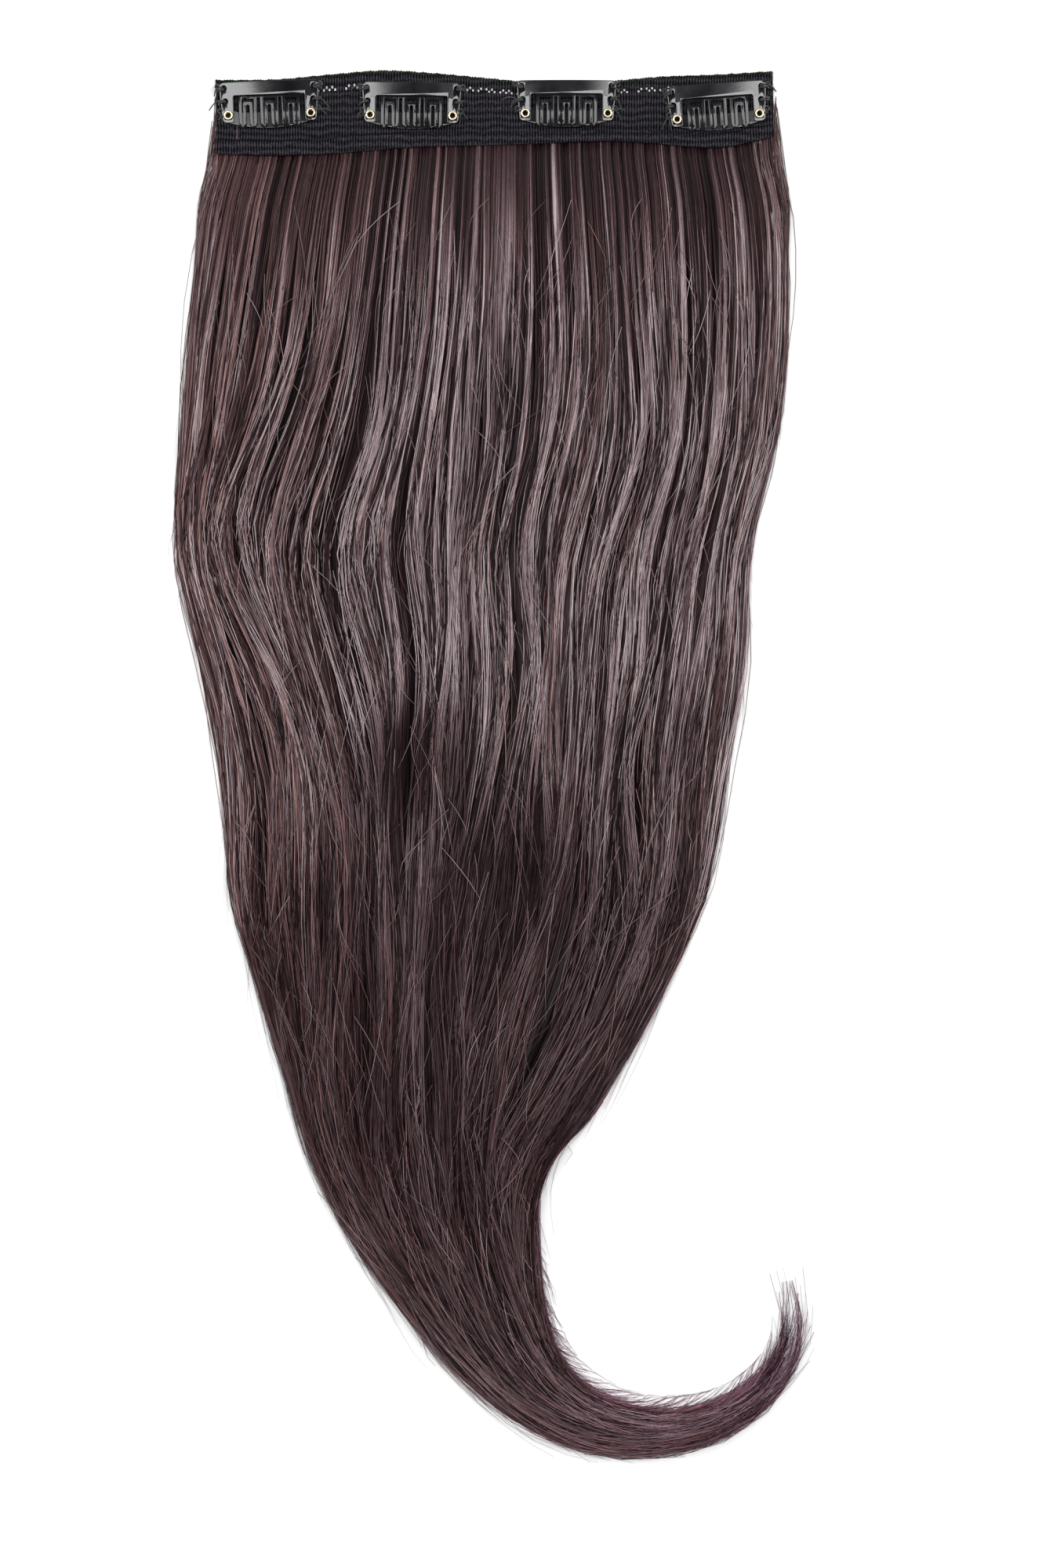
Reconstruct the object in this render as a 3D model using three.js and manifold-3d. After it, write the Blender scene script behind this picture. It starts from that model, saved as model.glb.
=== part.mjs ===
// A clip-in hair extension lying face up on a flat surface: a sewn cloth band with four snap
// clips, and a sheet of long hair whose ends sweep round in a curl.
// Millimetres. X runs along the band, +Y from the hair towards the band, +Z up from the surface.
// While the pieces are made, X = 0 is the band's middle and Y = 0 its lower edge; at the end the
// whole model is moved so that the centre of its base is the origin.

import * as THREE from 'three';
import { mergeVertices } from 'three/addons/utils/BufferGeometryUtils.js';
import Module from 'manifold-3d';

const wasm = await Module();
wasm.setup();

// Gap between neighbouring pieces
const clearance = 0.3;

// Cloth band
const bandWidth = 182;
const bandHeight = 24;
const clothThickness = 1.4;
const pleatHeight = 0.4;
const bandSteps = 20;

// Hair
const hairLength = 536;
const hairDepth = 9;
const rootDepth = 1.7;
const headInset = 1.5;
const rootRise = 55;
const lockSteps = 17;
const tipShare = 0.14;
const tipThinness = 0.16;

// Snap clips: heights are measured from the line through a clip's two eyelets
const clipLength = 32.8;
const eyeletSpacing = 26.9;
const frameRise = 10.8;
const topBarHeight = 4.4;
const legWidth = 3.6;
const footDrop = 2.4;
const steelThickness = 0.5;
const sewingHoleRadius = 0.95;
const sewingHoleEdge = 0.55;
const sewingHoleRises = [4.6, 8.9];

// Comb of a clip
const toothCount = 6;
const stripWidth = 0.8;
const sideSlot = 1.6;
const combRootHeight = 0.7;
const archDrop = 1.5;
const toothDrop = 4.3;

// Bow: the cross strip behind the teeth
const bowRise = 1.0;
const bowDrop = 4.2;
const bowEndRound = 1.2;

// Hollow brass eyelets
const barrelRadius = 1.0;
const eyeletBoreRadius = 0.6;
const flangeLip = 0.2;
const flangeThickness = 0.35;
const eyeletSides = 8;

// Wave of the band's edges: along is a share of the band's width from its middle, top and bottom
// are the edges' rise as shares of the band's height.
const bandEdges = [
  { along: -0.5, top: -0.065, bottom: -0.07 },
  { along: -0.39, top: -0.055, bottom: -0.095 },
  { along: -0.295, top: 0.01, bottom: -0.07 },
  { along: -0.197, top: 0.065, bottom: -0.01 },
  { along: -0.104, top: 0.025, bottom: 0.03 },
  { along: 0.014, top: -0.06, bottom: 0.05 },
  { along: 0.119, top: -0.125, bottom: 0.08 },
  { along: 0.21, top: -0.08, bottom: 0.1 },
  { along: 0.3, top: -0.02, bottom: 0.06 },
  { along: 0.404, top: 0.01, bottom: 0.015 },
  { along: 0.5, top: 0.055, bottom: 0.16 },
];

// Shares of the band's height: where the raised strip over the hair's root starts, and how far
// the head of the hair keeps from that fold and from the lower edge
const stripFold = 0.81;
const headFoldGap = 0.05;
const headEdgeGap = 0.03;

// Face of the band from its top edge down: down is a share of the height, crest a share of the
// pleat height, and raised tells whether the cloth lies over the hair's root.
const bandFace = [
  { down: 0, crest: 0, raised: false },
  { down: 0.025, crest: 1, raised: false },
  { down: 0.09, crest: 0, raised: false },
  { down: 0.25, crest: 0, raised: false },
  { down: 0.29, crest: 1, raised: false },
  { down: 0.34, crest: 0, raised: false },
  { down: 0.41, crest: 0, raised: false },
  { down: 0.45, crest: 1, raised: false },
  { down: 0.5, crest: 0, raised: false },
  { down: 0.57, crest: 0, raised: false },
  { down: 0.61, crest: 1, raised: false },
  { down: 0.66, crest: 0, raised: false },
  { down: stripFold - 0.02, crest: 0, raised: false },
  { down: stripFold, crest: 1, raised: true },
  { down: 0.86, crest: 0.3, raised: true },
  { down: 0.97, crest: 0.3, raised: true },
  { down: 1, crest: -0.6, raised: true },
];

// Back of the band from its lower edge up, with the same columns
const bandBack = [
  { down: 1, raised: true },
  { down: stripFold + 0.02, raised: true },
  { down: stripFold - 0.01, raised: false },
  { down: 0, raised: false },
];

// Course of the hair: side and drop are shares of the hair's length, half is half the width as a
// share of the band's width, and depth a share of the hair's depth.
const hairCourse = [
  { side: 0.001, drop: 0, half: 0.495, depth: 0.5 },
  { side: 0, drop: 0.033, half: 0.522, depth: 0.55 },
  { side: -0.003, drop: 0.1, half: 0.541, depth: 0.65 },
  { side: -0.008, drop: 0.177, half: 0.535, depth: 0.7 },
  { side: -0.018, drop: 0.244, half: 0.517, depth: 0.74 },
  { side: -0.013, drop: 0.315, half: 0.49, depth: 0.78 },
  { side: -0.013, drop: 0.387, half: 0.452, depth: 0.82 },
  { side: -0.016, drop: 0.459, half: 0.43, depth: 0.88 },
  { side: -0.022, drop: 0.506, half: 0.379, depth: 0.94 },
  { side: -0.03, drop: 0.554, half: 0.319, depth: 1 },
  { side: -0.036, drop: 0.602, half: 0.248, depth: 1 },
  { side: -0.032, drop: 0.64, half: 0.194, depth: 1 },
  { side: -0.019, drop: 0.68, half: 0.149, depth: 0.97 },
  { side: -0.002, drop: 0.718, half: 0.111, depth: 0.92 },
  { side: 0.023, drop: 0.753, half: 0.075, depth: 0.85 },
  { side: 0.056, drop: 0.775, half: 0.056, depth: 0.78 },
  { side: 0.096, drop: 0.783, half: 0.042, depth: 0.7 },
  { side: 0.137, drop: 0.775, half: 0.036, depth: 0.62 },
  { side: 0.165, drop: 0.756, half: 0.03, depth: 0.54 },
  { side: 0.18, drop: 0.734, half: 0.023, depth: 0.46 },
  { side: 0.183, drop: 0.713, half: 0.017, depth: 0.36 },
  { side: 0.179, drop: 0.69, half: 0.009, depth: 0.22 },
];

// Locks: from and to are places across the hair, from -1 at the left edge to 1 at the right, at
// the root and at the lock's end; reach is a share of the hair's course, and height of its depth.
const locks = [
  { from: -0.9, to: -0.88, reach: 0.7, height: 0.7 },
  { from: -0.75, to: -0.76, reach: 0.79, height: 0.86 },
  { from: -0.6, to: -0.64, reach: 0.87, height: 0.96 },
  { from: -0.45, to: -0.52, reach: 0.93, height: 0.9 },
  { from: -0.3, to: -0.34, reach: 0.965, height: 1 },
  { from: -0.15, to: -0.14, reach: 1, height: 0.9 },
  { from: 0, to: 0.08, reach: 0.985, height: 1 },
  { from: 0.15, to: 0.3, reach: 0.95, height: 0.92 },
  { from: 0.3, to: 0.44, reach: 0.9, height: 1 },
  { from: 0.45, to: 0.58, reach: 0.84, height: 0.88 },
  { from: 0.6, to: 0.7, reach: 0.77, height: 0.96 },
  { from: 0.75, to: 0.8, reach: 0.71, height: 0.84 },
  { from: 0.9, to: 0.88, reach: 0.64, height: 0.7 },
];
const lockShareAtRoot = 0.1;
const lockShareAtEnd = 0.17;
const lockLeastHalf = 2.1;

// Section of a lock: across is a share of its half width, up a share of its height
const lockSection = [
  { across: -0.9, up: 0 },
  { across: 0.9, up: 0 },
  { across: 1, up: 0.5 },
  { across: 0.45, up: 1 },
  { across: -0.45, up: 1 },
  { across: -1, up: 0.5 },
];

// Clips on the band: along is a share of the band's width, rise a share of its height above the
// lowest place that clears the raised strip, and tilt is in degrees.
const clips = [
  { along: -0.402, rise: 0.17, tilt: 2 },
  { along: -0.148, rise: 0.045, tilt: -0.8 },
  { along: 0.13, rise: 0.05, tilt: 0 },
  { along: 0.402, rise: 0.037, tilt: 4.2 },
];

const blackCloth = { color: 0x0d0d0f, roughness: 0.9, metalness: 0 };
const darkHair = { color: 0x2a1c1e, roughness: 0.5, metalness: 0 };
const blackPaint = { color: 0x08080a, roughness: 0.18, metalness: 0.3 };
const brass = { color: 0xd8c07a, roughness: 0.3, metalness: 1 };

// Smallest parts of curves in flat shapes
const plateSegments = 4;
const combSegments = 2;

function mesh(name, geometry, finish) {
  const piece = new THREE.Mesh(geometry, new THREE.MeshStandardMaterial(finish));
  piece.name = name;
  return piece;
}

// The solid inside a closed geometry
function solidOf(geometry) {
  const bare = geometry.clone();
  bare.deleteAttribute('normal');
  bare.deleteAttribute('uv');
  const merged = mergeVertices(bare, 1e-4);
  const vertProperties = Float32Array.from(merged.attributes.position.array);
  const triVerts = Uint32Array.from(merged.index.array);
  return new wasm.Manifold(new wasm.Mesh({ numProp: 3, vertProperties, triVerts }));
}

// One geometry from several that overlap
function fuse(geometries) {
  const joined = geometries.map(solidOf).reduce((whole, next) => whole.add(next));
  const { vertProperties, triVerts } = joined.getMesh();
  const geometry = new THREE.BufferGeometry();
  geometry.setAttribute('position', new THREE.BufferAttribute(vertProperties, 3));
  geometry.setIndex(new THREE.BufferAttribute(triVerts, 1));
  geometry.computeVertexNormals();
  return geometry;
}

// A closed skin through rings of points; outline is a ring's flat form, which shapes the caps
function loft(rings, outline) {
  const size = outline.length;
  const last = (rings.length - 1) * size;
  const faces = [];
  for (let start = 0; start < last; start += size) {
    for (let i = 0; i < size; i += 1) {
      const a = start + i;
      const b = start + ((i + 1) % size);
      faces.push(a, b, b + size, a, b + size, a + size);
    }
  }
  for (const [a, b, c] of THREE.ShapeUtils.triangulateShape(outline, [])) {
    faces.push(a, c, b);
    faces.push(last + a, last + b, last + c);
  }
  const positions = rings.flat().flatMap((point) => point.toArray());
  const geometry = new THREE.BufferGeometry();
  geometry.setAttribute('position', new THREE.Float32BufferAttribute(positions, 3));
  geometry.setIndex(faces);
  geometry.computeVertexNormals();
  return geometry;
}

// Value of a table's column at a place between its rows, on a smooth curve
function columnAt(rows, key, column, place) {
  const next = rows.findIndex((row) => row[key] >= place);
  const i = next < 0 ? rows.length - 1 : Math.max(next, 1);
  const before = rows[Math.max(i - 2, 0)][column];
  const after = rows[Math.min(i + 1, rows.length - 1)][column];
  const low = rows[i - 1];
  const high = rows[i];
  const t = THREE.MathUtils.clamp((place - low[key]) / (high[key] - low[key]), 0, 1);
  const slopeLow = (high[column] - before) / 2;
  const slopeHigh = (after - low[column]) / 2;
  const rise = high[column] - low[column];
  return low[column] + t * (slopeLow + t * (3 * rise - 2 * slopeLow - slopeHigh
    + t * (slopeLow + slopeHigh - 2 * rise)));
}

// Y of a place on the band: along is a share of its width, down a share of its height
function bandY(along, down) {
  const top = bandHeight * (1 + columnAt(bandEdges, 'along', 'top', along));
  const bottom = bandHeight * columnAt(bandEdges, 'along', 'bottom', along);
  return THREE.MathUtils.lerp(top, bottom, down);
}

const raisedBack = rootDepth + clearance;

// The band's closed section, as rows of down and height above the surface
function bandSection() {
  const face = bandFace.map(({ down, crest, raised }) => ({
    down,
    z: clothThickness + pleatHeight * crest + (raised ? raisedBack : 0),
  }));
  const back = bandBack.map(({ down, raised }) => ({ down, z: raised ? raisedBack : 0 }));
  return [...face, ...back];
}

// A strip along a share of the band's width, following its waves, with one section all along
function stripGeometry(section, widthShare) {
  const rings = [];
  for (let step = 0; step <= bandSteps; step += 1) {
    const along = (step / bandSteps - 0.5) * widthShare;
    rings.push(section.map(({ down, z }) => (
      new THREE.Vector3(along * bandWidth, bandY(along, down), z))));
  }
  const outline = section.map(({ down, z }) => new THREE.Vector2(-down * bandHeight, z));
  return loft(rings, outline);
}

// The sewn head of the hair, hidden under the band's raised strip
function headGeometry() {
  const high = stripFold + headFoldGap;
  const low = 1 - headEdgeGap;
  const section = [
    { down: high, z: 0 },
    { down: high, z: rootDepth },
    { down: low, z: rootDepth },
    { down: low, z: 0 },
  ];
  return stripGeometry(section, 1 - (2 * headInset) / bandWidth);
}

// The hair's middle line, with a size that changes along it as the third coordinate
function courseWith(sizeOf) {
  const points = hairCourse.map((row) => (
    new THREE.Vector3(row.side * hairLength, -row.drop * hairLength, sizeOf(row))));
  const curve = new THREE.CatmullRomCurve3(points, false, 'centripetal');
  curve.arcLengthDivisions = 400;
  return curve;
}

const spine = courseWith((row) => row.half * bandWidth);
const spineDepth = courseWith((row) => row.depth * hairDepth);

// How far the band's lower edge hangs below its nominal line
const edgeDip = -bandHeight * Math.min(...bandEdges.map(({ bottom }) => bottom));
const rootFlat = edgeDip + 2 * clearance;

// How far the hair has risen to its full depth: not at all where the band covers it
function swellAt(share) {
  return THREE.MathUtils.smoothstep(share * spine.getLength(), rootFlat, rootFlat + rootRise);
}

// The ring of a lock at a share of the hair's course
function lockRing(lock, share) {
  const middle = spine.getPointAt(share);
  const heading = spine.getTangentAt(share).setZ(0).normalize();
  const sideways = new THREE.Vector3(-heading.y, heading.x, 0);
  const progress = share / lock.reach;
  const drift = THREE.MathUtils.smootherstep(progress, 0.2, 1);
  const place = THREE.MathUtils.lerp(lock.from, lock.to, drift);
  const ending = THREE.MathUtils.clamp((progress - 1 + tipShare) / tipShare, 0, 1);
  const fullness = THREE.MathUtils.lerp(1, tipThinness, ending * ending);
  const lockShare = THREE.MathUtils.lerp(lockShareAtRoot, lockShareAtEnd, share);
  const half = Math.max(lockShare * middle.z, Math.min(lockLeastHalf, middle.z)) * fullness;
  const room = Math.max(middle.z - half, 0) / (1 - lockShareAtRoot);
  const centre = middle.clone().setZ(0).addScaledVector(sideways, place * room);
  const fullHeight = spineDepth.getPointAt(share).z * lock.height;
  const height = THREE.MathUtils.lerp(rootDepth, fullHeight, swellAt(share)) * fullness;
  return lockSection.map(({ across, up }) => (
    centre.clone().addScaledVector(sideways, across * half).setZ(up * height)));
}

function lockGeometry(lock) {
  const flatShare = rootFlat / spine.getLength();
  const first = lockRing(lock, 0);
  const along = first[0].clone().add(first[1]).x / 2 / bandWidth;
  const inHead = bandY(THREE.MathUtils.clamp(along, -0.5, 0.5), (stripFold + 1) / 2);
  const rings = [first.map((point) => point.clone().setY(inHead)), lockRing(lock, flatShare)];
  for (let step = 1; step <= lockSteps; step += 1) {
    rings.push(lockRing(lock, THREE.MathUtils.lerp(flatShare, lock.reach, step / lockSteps)));
  }
  const outline = lockSection.map(({ across, up }) => new THREE.Vector2(across, up));
  return loft(rings, outline);
}

function hairGeometry() {
  return fuse([headGeometry(), ...locks.map(lockGeometry)]);
}

// A flat outline with rounded corners; each corner has x, y and round
function roundedOutline(corners, path) {
  const count = corners.length;
  corners.forEach((corner, i) => {
    const here = new THREE.Vector2().copy(corner);
    const before = new THREE.Vector2().copy(corners[(i + count - 1) % count]);
    const after = new THREE.Vector2().copy(corners[(i + 1) % count]);
    const entry = before.sub(here).setLength(corner.round).add(here);
    const leave = after.sub(here).setLength(corner.round).add(here);
    if (i === 0) {
      path.moveTo(entry.x, entry.y);
    } else {
      path.lineTo(entry.x, entry.y);
    }
    if (corner.round > 0) {
      path.quadraticCurveTo(here.x, here.y, leave.x, leave.y);
    }
  });
  path.closePath();
  return path;
}

// Corners of a whole outline from those of its right side
function mirrored(rightSide) {
  return [...rightSide, ...rightSide.map((corner) => ({ ...corner, x: -corner.x })).reverse()];
}

function roundHole(x, y, radius) {
  return new THREE.Path().absarc(x, y, radius, 0, 2 * Math.PI, true);
}

const eyeletX = eyeletSpacing / 2;
const eyeletHoleRadius = barrelRadius + clearance;
const openingHalf = eyeletX - legWidth / 2;
const footHalf = eyeletX + legWidth / 2;
const openingTop = frameRise - topBarHeight;

// Outer edge of a leg at a height: it leans in from the top corner to the foot
function legEdge(y) {
  return THREE.MathUtils.mapLinear(y, -footDrop, frameRise, footHalf, clipLength / 2);
}

// The stamped plate: a top bar with a leg at each end
function frameGeometry() {
  const rightSide = [
    { x: openingHalf, y: openingTop, round: 0.5 },
    { x: openingHalf, y: -footDrop, round: 0.9 },
    { x: footHalf, y: -footDrop, round: 1.5 },
    { x: clipLength / 2, y: frameRise, round: 1.9 },
  ];
  const shape = roundedOutline(mirrored(rightSide), new THREE.Shape());
  for (const side of [-1, 1]) {
    shape.holes.push(roundHole(side * eyeletX, 0, eyeletHoleRadius));
    for (const y of sewingHoleRises) {
      const x = legEdge(y) - sewingHoleEdge - sewingHoleRadius;
      shape.holes.push(roundHole(side * x, y, sewingHoleRadius));
    }
  }
  return plate(shape, plateSegments);
}

function plate(shape, curveSegments) {
  return new THREE.ExtrudeGeometry(shape, {
    depth: steelThickness,
    bevelEnabled: false,
    curveSegments,
  });
}

const combHalf = openingHalf - sideSlot;
const slotWidth = (2 * combHalf - 2 * toothCount * stripWidth) / (2 * toothCount - 1);
const strandPitch = stripWidth + slotWidth;
const combTop = openingTop - clearance;
const slotTop = combTop - combRootHeight;
const archTop = slotTop - archDrop;
const tipRadius = strandPitch / 2 + stripWidth / 2;
const slotRadius = slotWidth / 2;

// The comb: each pair of teeth is one strip that winds down, round a tip, up to an inner arch
// and back the same way, and hangs from a narrow root along the top.
function combGeometry() {
  const shape = new THREE.Shape();
  const tipY = -toothDrop + tipRadius;
  shape.moveTo(combHalf, combTop);
  shape.lineTo(-combHalf, combTop);
  for (let pair = 0; pair < toothCount / 2; pair += 1) {
    const left = -combHalf + 4 * pair * strandPitch;
    const toothMiddles = [0, 1].map((tooth) => left + tipRadius + 2 * tooth * strandPitch);
    const right = left + 4 * tipRadius + slotWidth;
    const archY = archTop - stripWidth - slotRadius;
    if (pair > 0) {
      shape.lineTo(left, slotTop);
    }
    shape.lineTo(left, tipY);
    shape.absarc(toothMiddles[0], tipY, tipRadius, Math.PI, 2 * Math.PI, false);
    shape.lineTo(toothMiddles[0] + tipRadius, archY);
    shape.absarc(toothMiddles[0] + strandPitch, archY, slotRadius, Math.PI, 0, true);
    shape.lineTo(toothMiddles[1] - tipRadius, tipY);
    shape.absarc(toothMiddles[1], tipY, tipRadius, Math.PI, 2 * Math.PI, false);
    shape.lineTo(right, pair + 1 < toothCount / 2 ? slotTop : combTop);
    shape.holes.push(pairSlot(toothMiddles, tipY));
  }
  return plate(shape, combSegments);
}

// The slot inside a pair of teeth: down both teeth and over the inner arch
function pairSlot(toothMiddles, tipY) {
  const slot = new THREE.Path();
  const [first, second] = toothMiddles;
  const archOuter = first + slotRadius;
  slot.moveTo(first - slotRadius, slotTop - slotRadius);
  slot.lineTo(first - slotRadius, tipY);
  slot.absarc(first, tipY, slotRadius, Math.PI, 2 * Math.PI, false);
  slot.lineTo(archOuter, archTop - slotRadius);
  slot.quadraticCurveTo(archOuter, archTop, archOuter + slotRadius, archTop);
  slot.lineTo(second - 2 * slotRadius, archTop);
  slot.quadraticCurveTo(second - slotRadius, archTop, second - slotRadius, archTop - slotRadius);
  slot.lineTo(second - slotRadius, tipY);
  slot.absarc(second, tipY, slotRadius, Math.PI, 2 * Math.PI, false);
  slot.lineTo(second + slotRadius, slotTop - slotRadius);
  slot.quadraticCurveTo(second + slotRadius, slotTop, second, slotTop);
  slot.lineTo(first, slotTop);
  slot.quadraticCurveTo(first - slotRadius, slotTop, first - slotRadius, slotTop - slotRadius);
  return slot;
}

// The bow: straight above and bulging below, with a wider end round each eyelet
function bowGeometry() {
  const endHalf = legWidth / 2;
  const control = new THREE.Vector2(0, endHalf - 2 * bowDrop);
  const reach = control.distanceTo(new THREE.Vector2(footHalf, -endHalf));
  const rightSide = [
    { x: footHalf, y: -endHalf, round: bowEndRound },
    { x: footHalf, y: endHalf, round: bowEndRound },
    { x: openingHalf, y: endHalf, round: 0 },
    { x: openingHalf - endHalf, y: bowRise, round: 0 },
  ];
  const bulge = { x: control.x, y: control.y, round: reach - bowEndRound - clearance };
  const shape = roundedOutline([bulge, ...mirrored(rightSide)], new THREE.Shape());
  for (const side of [-1, 1]) {
    shape.holes.push(roundHole(side * eyeletX, 0, eyeletHoleRadius));
  }
  return plate(shape, plateSegments);
}

// Heights in a clip, from the underside of its eyelets
const bowBase = flangeThickness + clearance;
const plateBase = bowBase + steelThickness + clearance;
const upperFlangeBase = plateBase + steelThickness + clearance;
const flangeRadius = eyeletHoleRadius + flangeLip;

// A hollow rivet with a flange under the bow and one over the plate
function eyeletGeometry() {
  const profile = [
    [eyeletBoreRadius, 0],
    [flangeRadius, 0],
    [flangeRadius, flangeThickness],
    [barrelRadius, flangeThickness],
    [barrelRadius, upperFlangeBase],
    [flangeRadius, upperFlangeBase],
    [flangeRadius, upperFlangeBase + flangeThickness],
    [eyeletBoreRadius, upperFlangeBase + flangeThickness],
    [eyeletBoreRadius, 0],
  ];
  const points = profile.map(([radius, height]) => new THREE.Vector2(radius, height));
  return new THREE.LatheGeometry(points, eyeletSides).rotateX(Math.PI / 2);
}

// One clip on the band, tilted with the cloth and clear of the raised strip
function clipGroup(name, { along, rise, tilt }) {
  const group = new THREE.Group();
  const lowestY = bandY(along, stripFold) + clearance + toothDrop;
  const clothTop = clothThickness + pleatHeight;
  group.position.set(along * bandWidth, lowestY + rise * bandHeight, clothTop + clearance);
  group.rotation.z = THREE.MathUtils.degToRad(tilt);
  const frame = mesh(`${name}_frame`, frameGeometry(), blackPaint);
  frame.position.z = plateBase;
  const comb = mesh(`${name}_comb`, combGeometry(), blackPaint);
  comb.position.z = plateBase;
  const bow = mesh(`${name}_bow`, bowGeometry(), blackPaint);
  bow.position.z = bowBase;
  group.add(frame, comb, bow);
  for (const [side, sign] of [['left', -1], ['right', 1]]) {
    const eyelet = mesh(`${name}_eyelet_${side}`, eyeletGeometry(), brass);
    eyelet.position.x = sign * eyeletX;
    group.add(eyelet);
  }
  return group;
}

const extension = new THREE.Group();
extension.add(mesh('band', stripGeometry(bandSection(), 1), blackCloth));
extension.add(mesh('hair', hairGeometry(), darkHair));
clips.forEach((clip, i) => extension.add(clipGroup(`clip_${i + 1}`, clip)));

const box = new THREE.Box3().setFromObject(extension);
const middle = box.getCenter(new THREE.Vector3());
extension.position.set(-middle.x, -middle.y, 0);

export default extension;
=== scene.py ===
"""Looks of a clip-in hair extension that lies face up: strands, ribbed band, clips and threads."""

import math

import bmesh
import bpy
import numpy as np
from mathutils import Matrix, Vector


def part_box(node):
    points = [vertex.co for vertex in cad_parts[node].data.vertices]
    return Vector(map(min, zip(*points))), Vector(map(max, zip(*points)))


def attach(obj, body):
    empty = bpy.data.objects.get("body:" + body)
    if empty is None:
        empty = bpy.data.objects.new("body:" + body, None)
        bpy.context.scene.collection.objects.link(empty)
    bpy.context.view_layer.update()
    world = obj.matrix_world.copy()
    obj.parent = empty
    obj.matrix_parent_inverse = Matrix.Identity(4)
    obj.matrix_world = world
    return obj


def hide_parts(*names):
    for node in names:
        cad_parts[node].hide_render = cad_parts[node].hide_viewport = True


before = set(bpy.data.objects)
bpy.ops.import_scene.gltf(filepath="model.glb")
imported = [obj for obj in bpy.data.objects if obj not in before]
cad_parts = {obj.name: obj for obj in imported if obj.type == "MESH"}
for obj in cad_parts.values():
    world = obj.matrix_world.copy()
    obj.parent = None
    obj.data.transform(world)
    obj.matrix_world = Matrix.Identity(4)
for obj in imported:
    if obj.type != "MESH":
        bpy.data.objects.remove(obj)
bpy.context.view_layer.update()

MM = 0.001
BODY = "extension"
rng = np.random.default_rng(20)

# The UV map that the hair's material reads
UV_MAP = "OFBake"

# Sizes of the part, in millimetres
BAND_WIDTH = 182
BAND_HEIGHT = 24
CLOTH_THICKNESS = 1.4
HAIR_LENGTH = 536
HAIR_DEPTH = 9
ROOT_DEPTH = 1.7
ROOT_RISE = 55
CLIP_LENGTH = 32.8
EYELET_SPACING = 26.9
FRAME_RISE = 10.8
TOP_BAR_HEIGHT = 4.4
LEG_WIDTH = 3.6
FOOT_DROP = 2.4
STEEL_THICKNESS = 0.5
SEWING_HOLE_RADIUS = 0.95
SEWING_HOLE_EDGE = 0.55
SEWING_HOLE_RISES = (4.6, 8.9)
TOOTH_COUNT = 6
STRIP_WIDTH = 0.8
SIDE_SLOT = 1.6
COMB_ROOT_HEIGHT = 0.7
ARCH_DROP = 1.5
TOOTH_DROP = 4.3
BOW_RISE = 1.0
BOW_DROP = 4.2
CLEARANCE = 0.3
STRIP_FOLD = 0.81

# Waves of the band's edges: place along the band, rise of the top edge, rise of the lower edge,
# as shares of its width and height
BAND_EDGES = (
    (-0.5, -0.065, -0.07),
    (-0.39, -0.055, -0.095),
    (-0.295, 0.01, -0.07),
    (-0.197, 0.065, -0.01),
    (-0.104, 0.025, 0.03),
    (0.014, -0.06, 0.05),
    (0.119, -0.125, 0.08),
    (0.21, -0.08, 0.1),
    (0.3, -0.02, 0.06),
    (0.404, 0.01, 0.015),
    (0.5, 0.055, 0.16),
)

# Course of the hair: side and drop as shares of its length, half its width as a share of the
# band's width, depth as a share of the hair's depth
HAIR_COURSE = (
    (0.001, 0, 0.495, 0.5),
    (0, 0.033, 0.522, 0.55),
    (-0.003, 0.1, 0.541, 0.65),
    (-0.008, 0.177, 0.535, 0.7),
    (-0.018, 0.244, 0.517, 0.74),
    (-0.013, 0.315, 0.49, 0.78),
    (-0.013, 0.387, 0.452, 0.82),
    (-0.016, 0.459, 0.43, 0.88),
    (-0.022, 0.506, 0.379, 0.94),
    (-0.03, 0.554, 0.319, 1),
    (-0.036, 0.602, 0.248, 1),
    (-0.032, 0.64, 0.194, 1),
    (-0.019, 0.68, 0.149, 0.97),
    (-0.002, 0.718, 0.111, 0.92),
    (0.023, 0.753, 0.075, 0.85),
    (0.056, 0.775, 0.056, 0.78),
    (0.096, 0.783, 0.042, 0.7),
    (0.137, 0.775, 0.036, 0.62),
    (0.165, 0.756, 0.03, 0.54),
    (0.18, 0.734, 0.023, 0.46),
    (0.183, 0.713, 0.017, 0.36),
    (0.179, 0.69, 0.009, 0.22),
)

# The photograph: its size, the pixel at the view's centre, and the pixel of the band's middle
# at its lower edge
PHOTO_SIZE = (1334, 2000)
VIEW_CENTRE_PIXEL = (667, 1000)
BAND_MIDDLE_PIXEL = (630, 190)
MM_PER_PIXEL = 0.256

# Height of the plane at which a pixel measures that much
SCALE_PLANE = 2


def smoothstep(value, low, high):
    t = np.clip((value - low) / (high - low), 0, 1)
    return t * t * (3 - 2 * t)


def smooth_curve(rows, steps):
    """Rows of numbers on a smooth curve through the given rows, with steps between two rows."""
    rows = np.array(rows, float)
    gaps = np.linalg.norm(np.diff(rows[:, :2], axis=0), axis=1) ** 0.5
    knots = np.concatenate([[0], np.cumsum(gaps)])
    slopes = np.gradient(rows, knots, axis=0)
    spans = [np.linspace(a, b, steps, endpoint=False) for a, b in zip(knots, knots[1:])]
    places = np.concatenate([*spans, knots[-1:]])
    i = np.clip(np.searchsorted(knots, places, side="right") - 1, 0, len(knots) - 2)
    gap = (knots[i + 1] - knots[i])[:, None]
    t = (places - knots[i])[:, None] / gap
    start = rows[i] * (2 * t**3 - 3 * t**2 + 1) + slopes[i] * gap * (t**3 - 2 * t**2 + t)
    return start + rows[i + 1] * (3 * t**2 - 2 * t**3) + slopes[i + 1] * gap * (t**3 - t**2)


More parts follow.
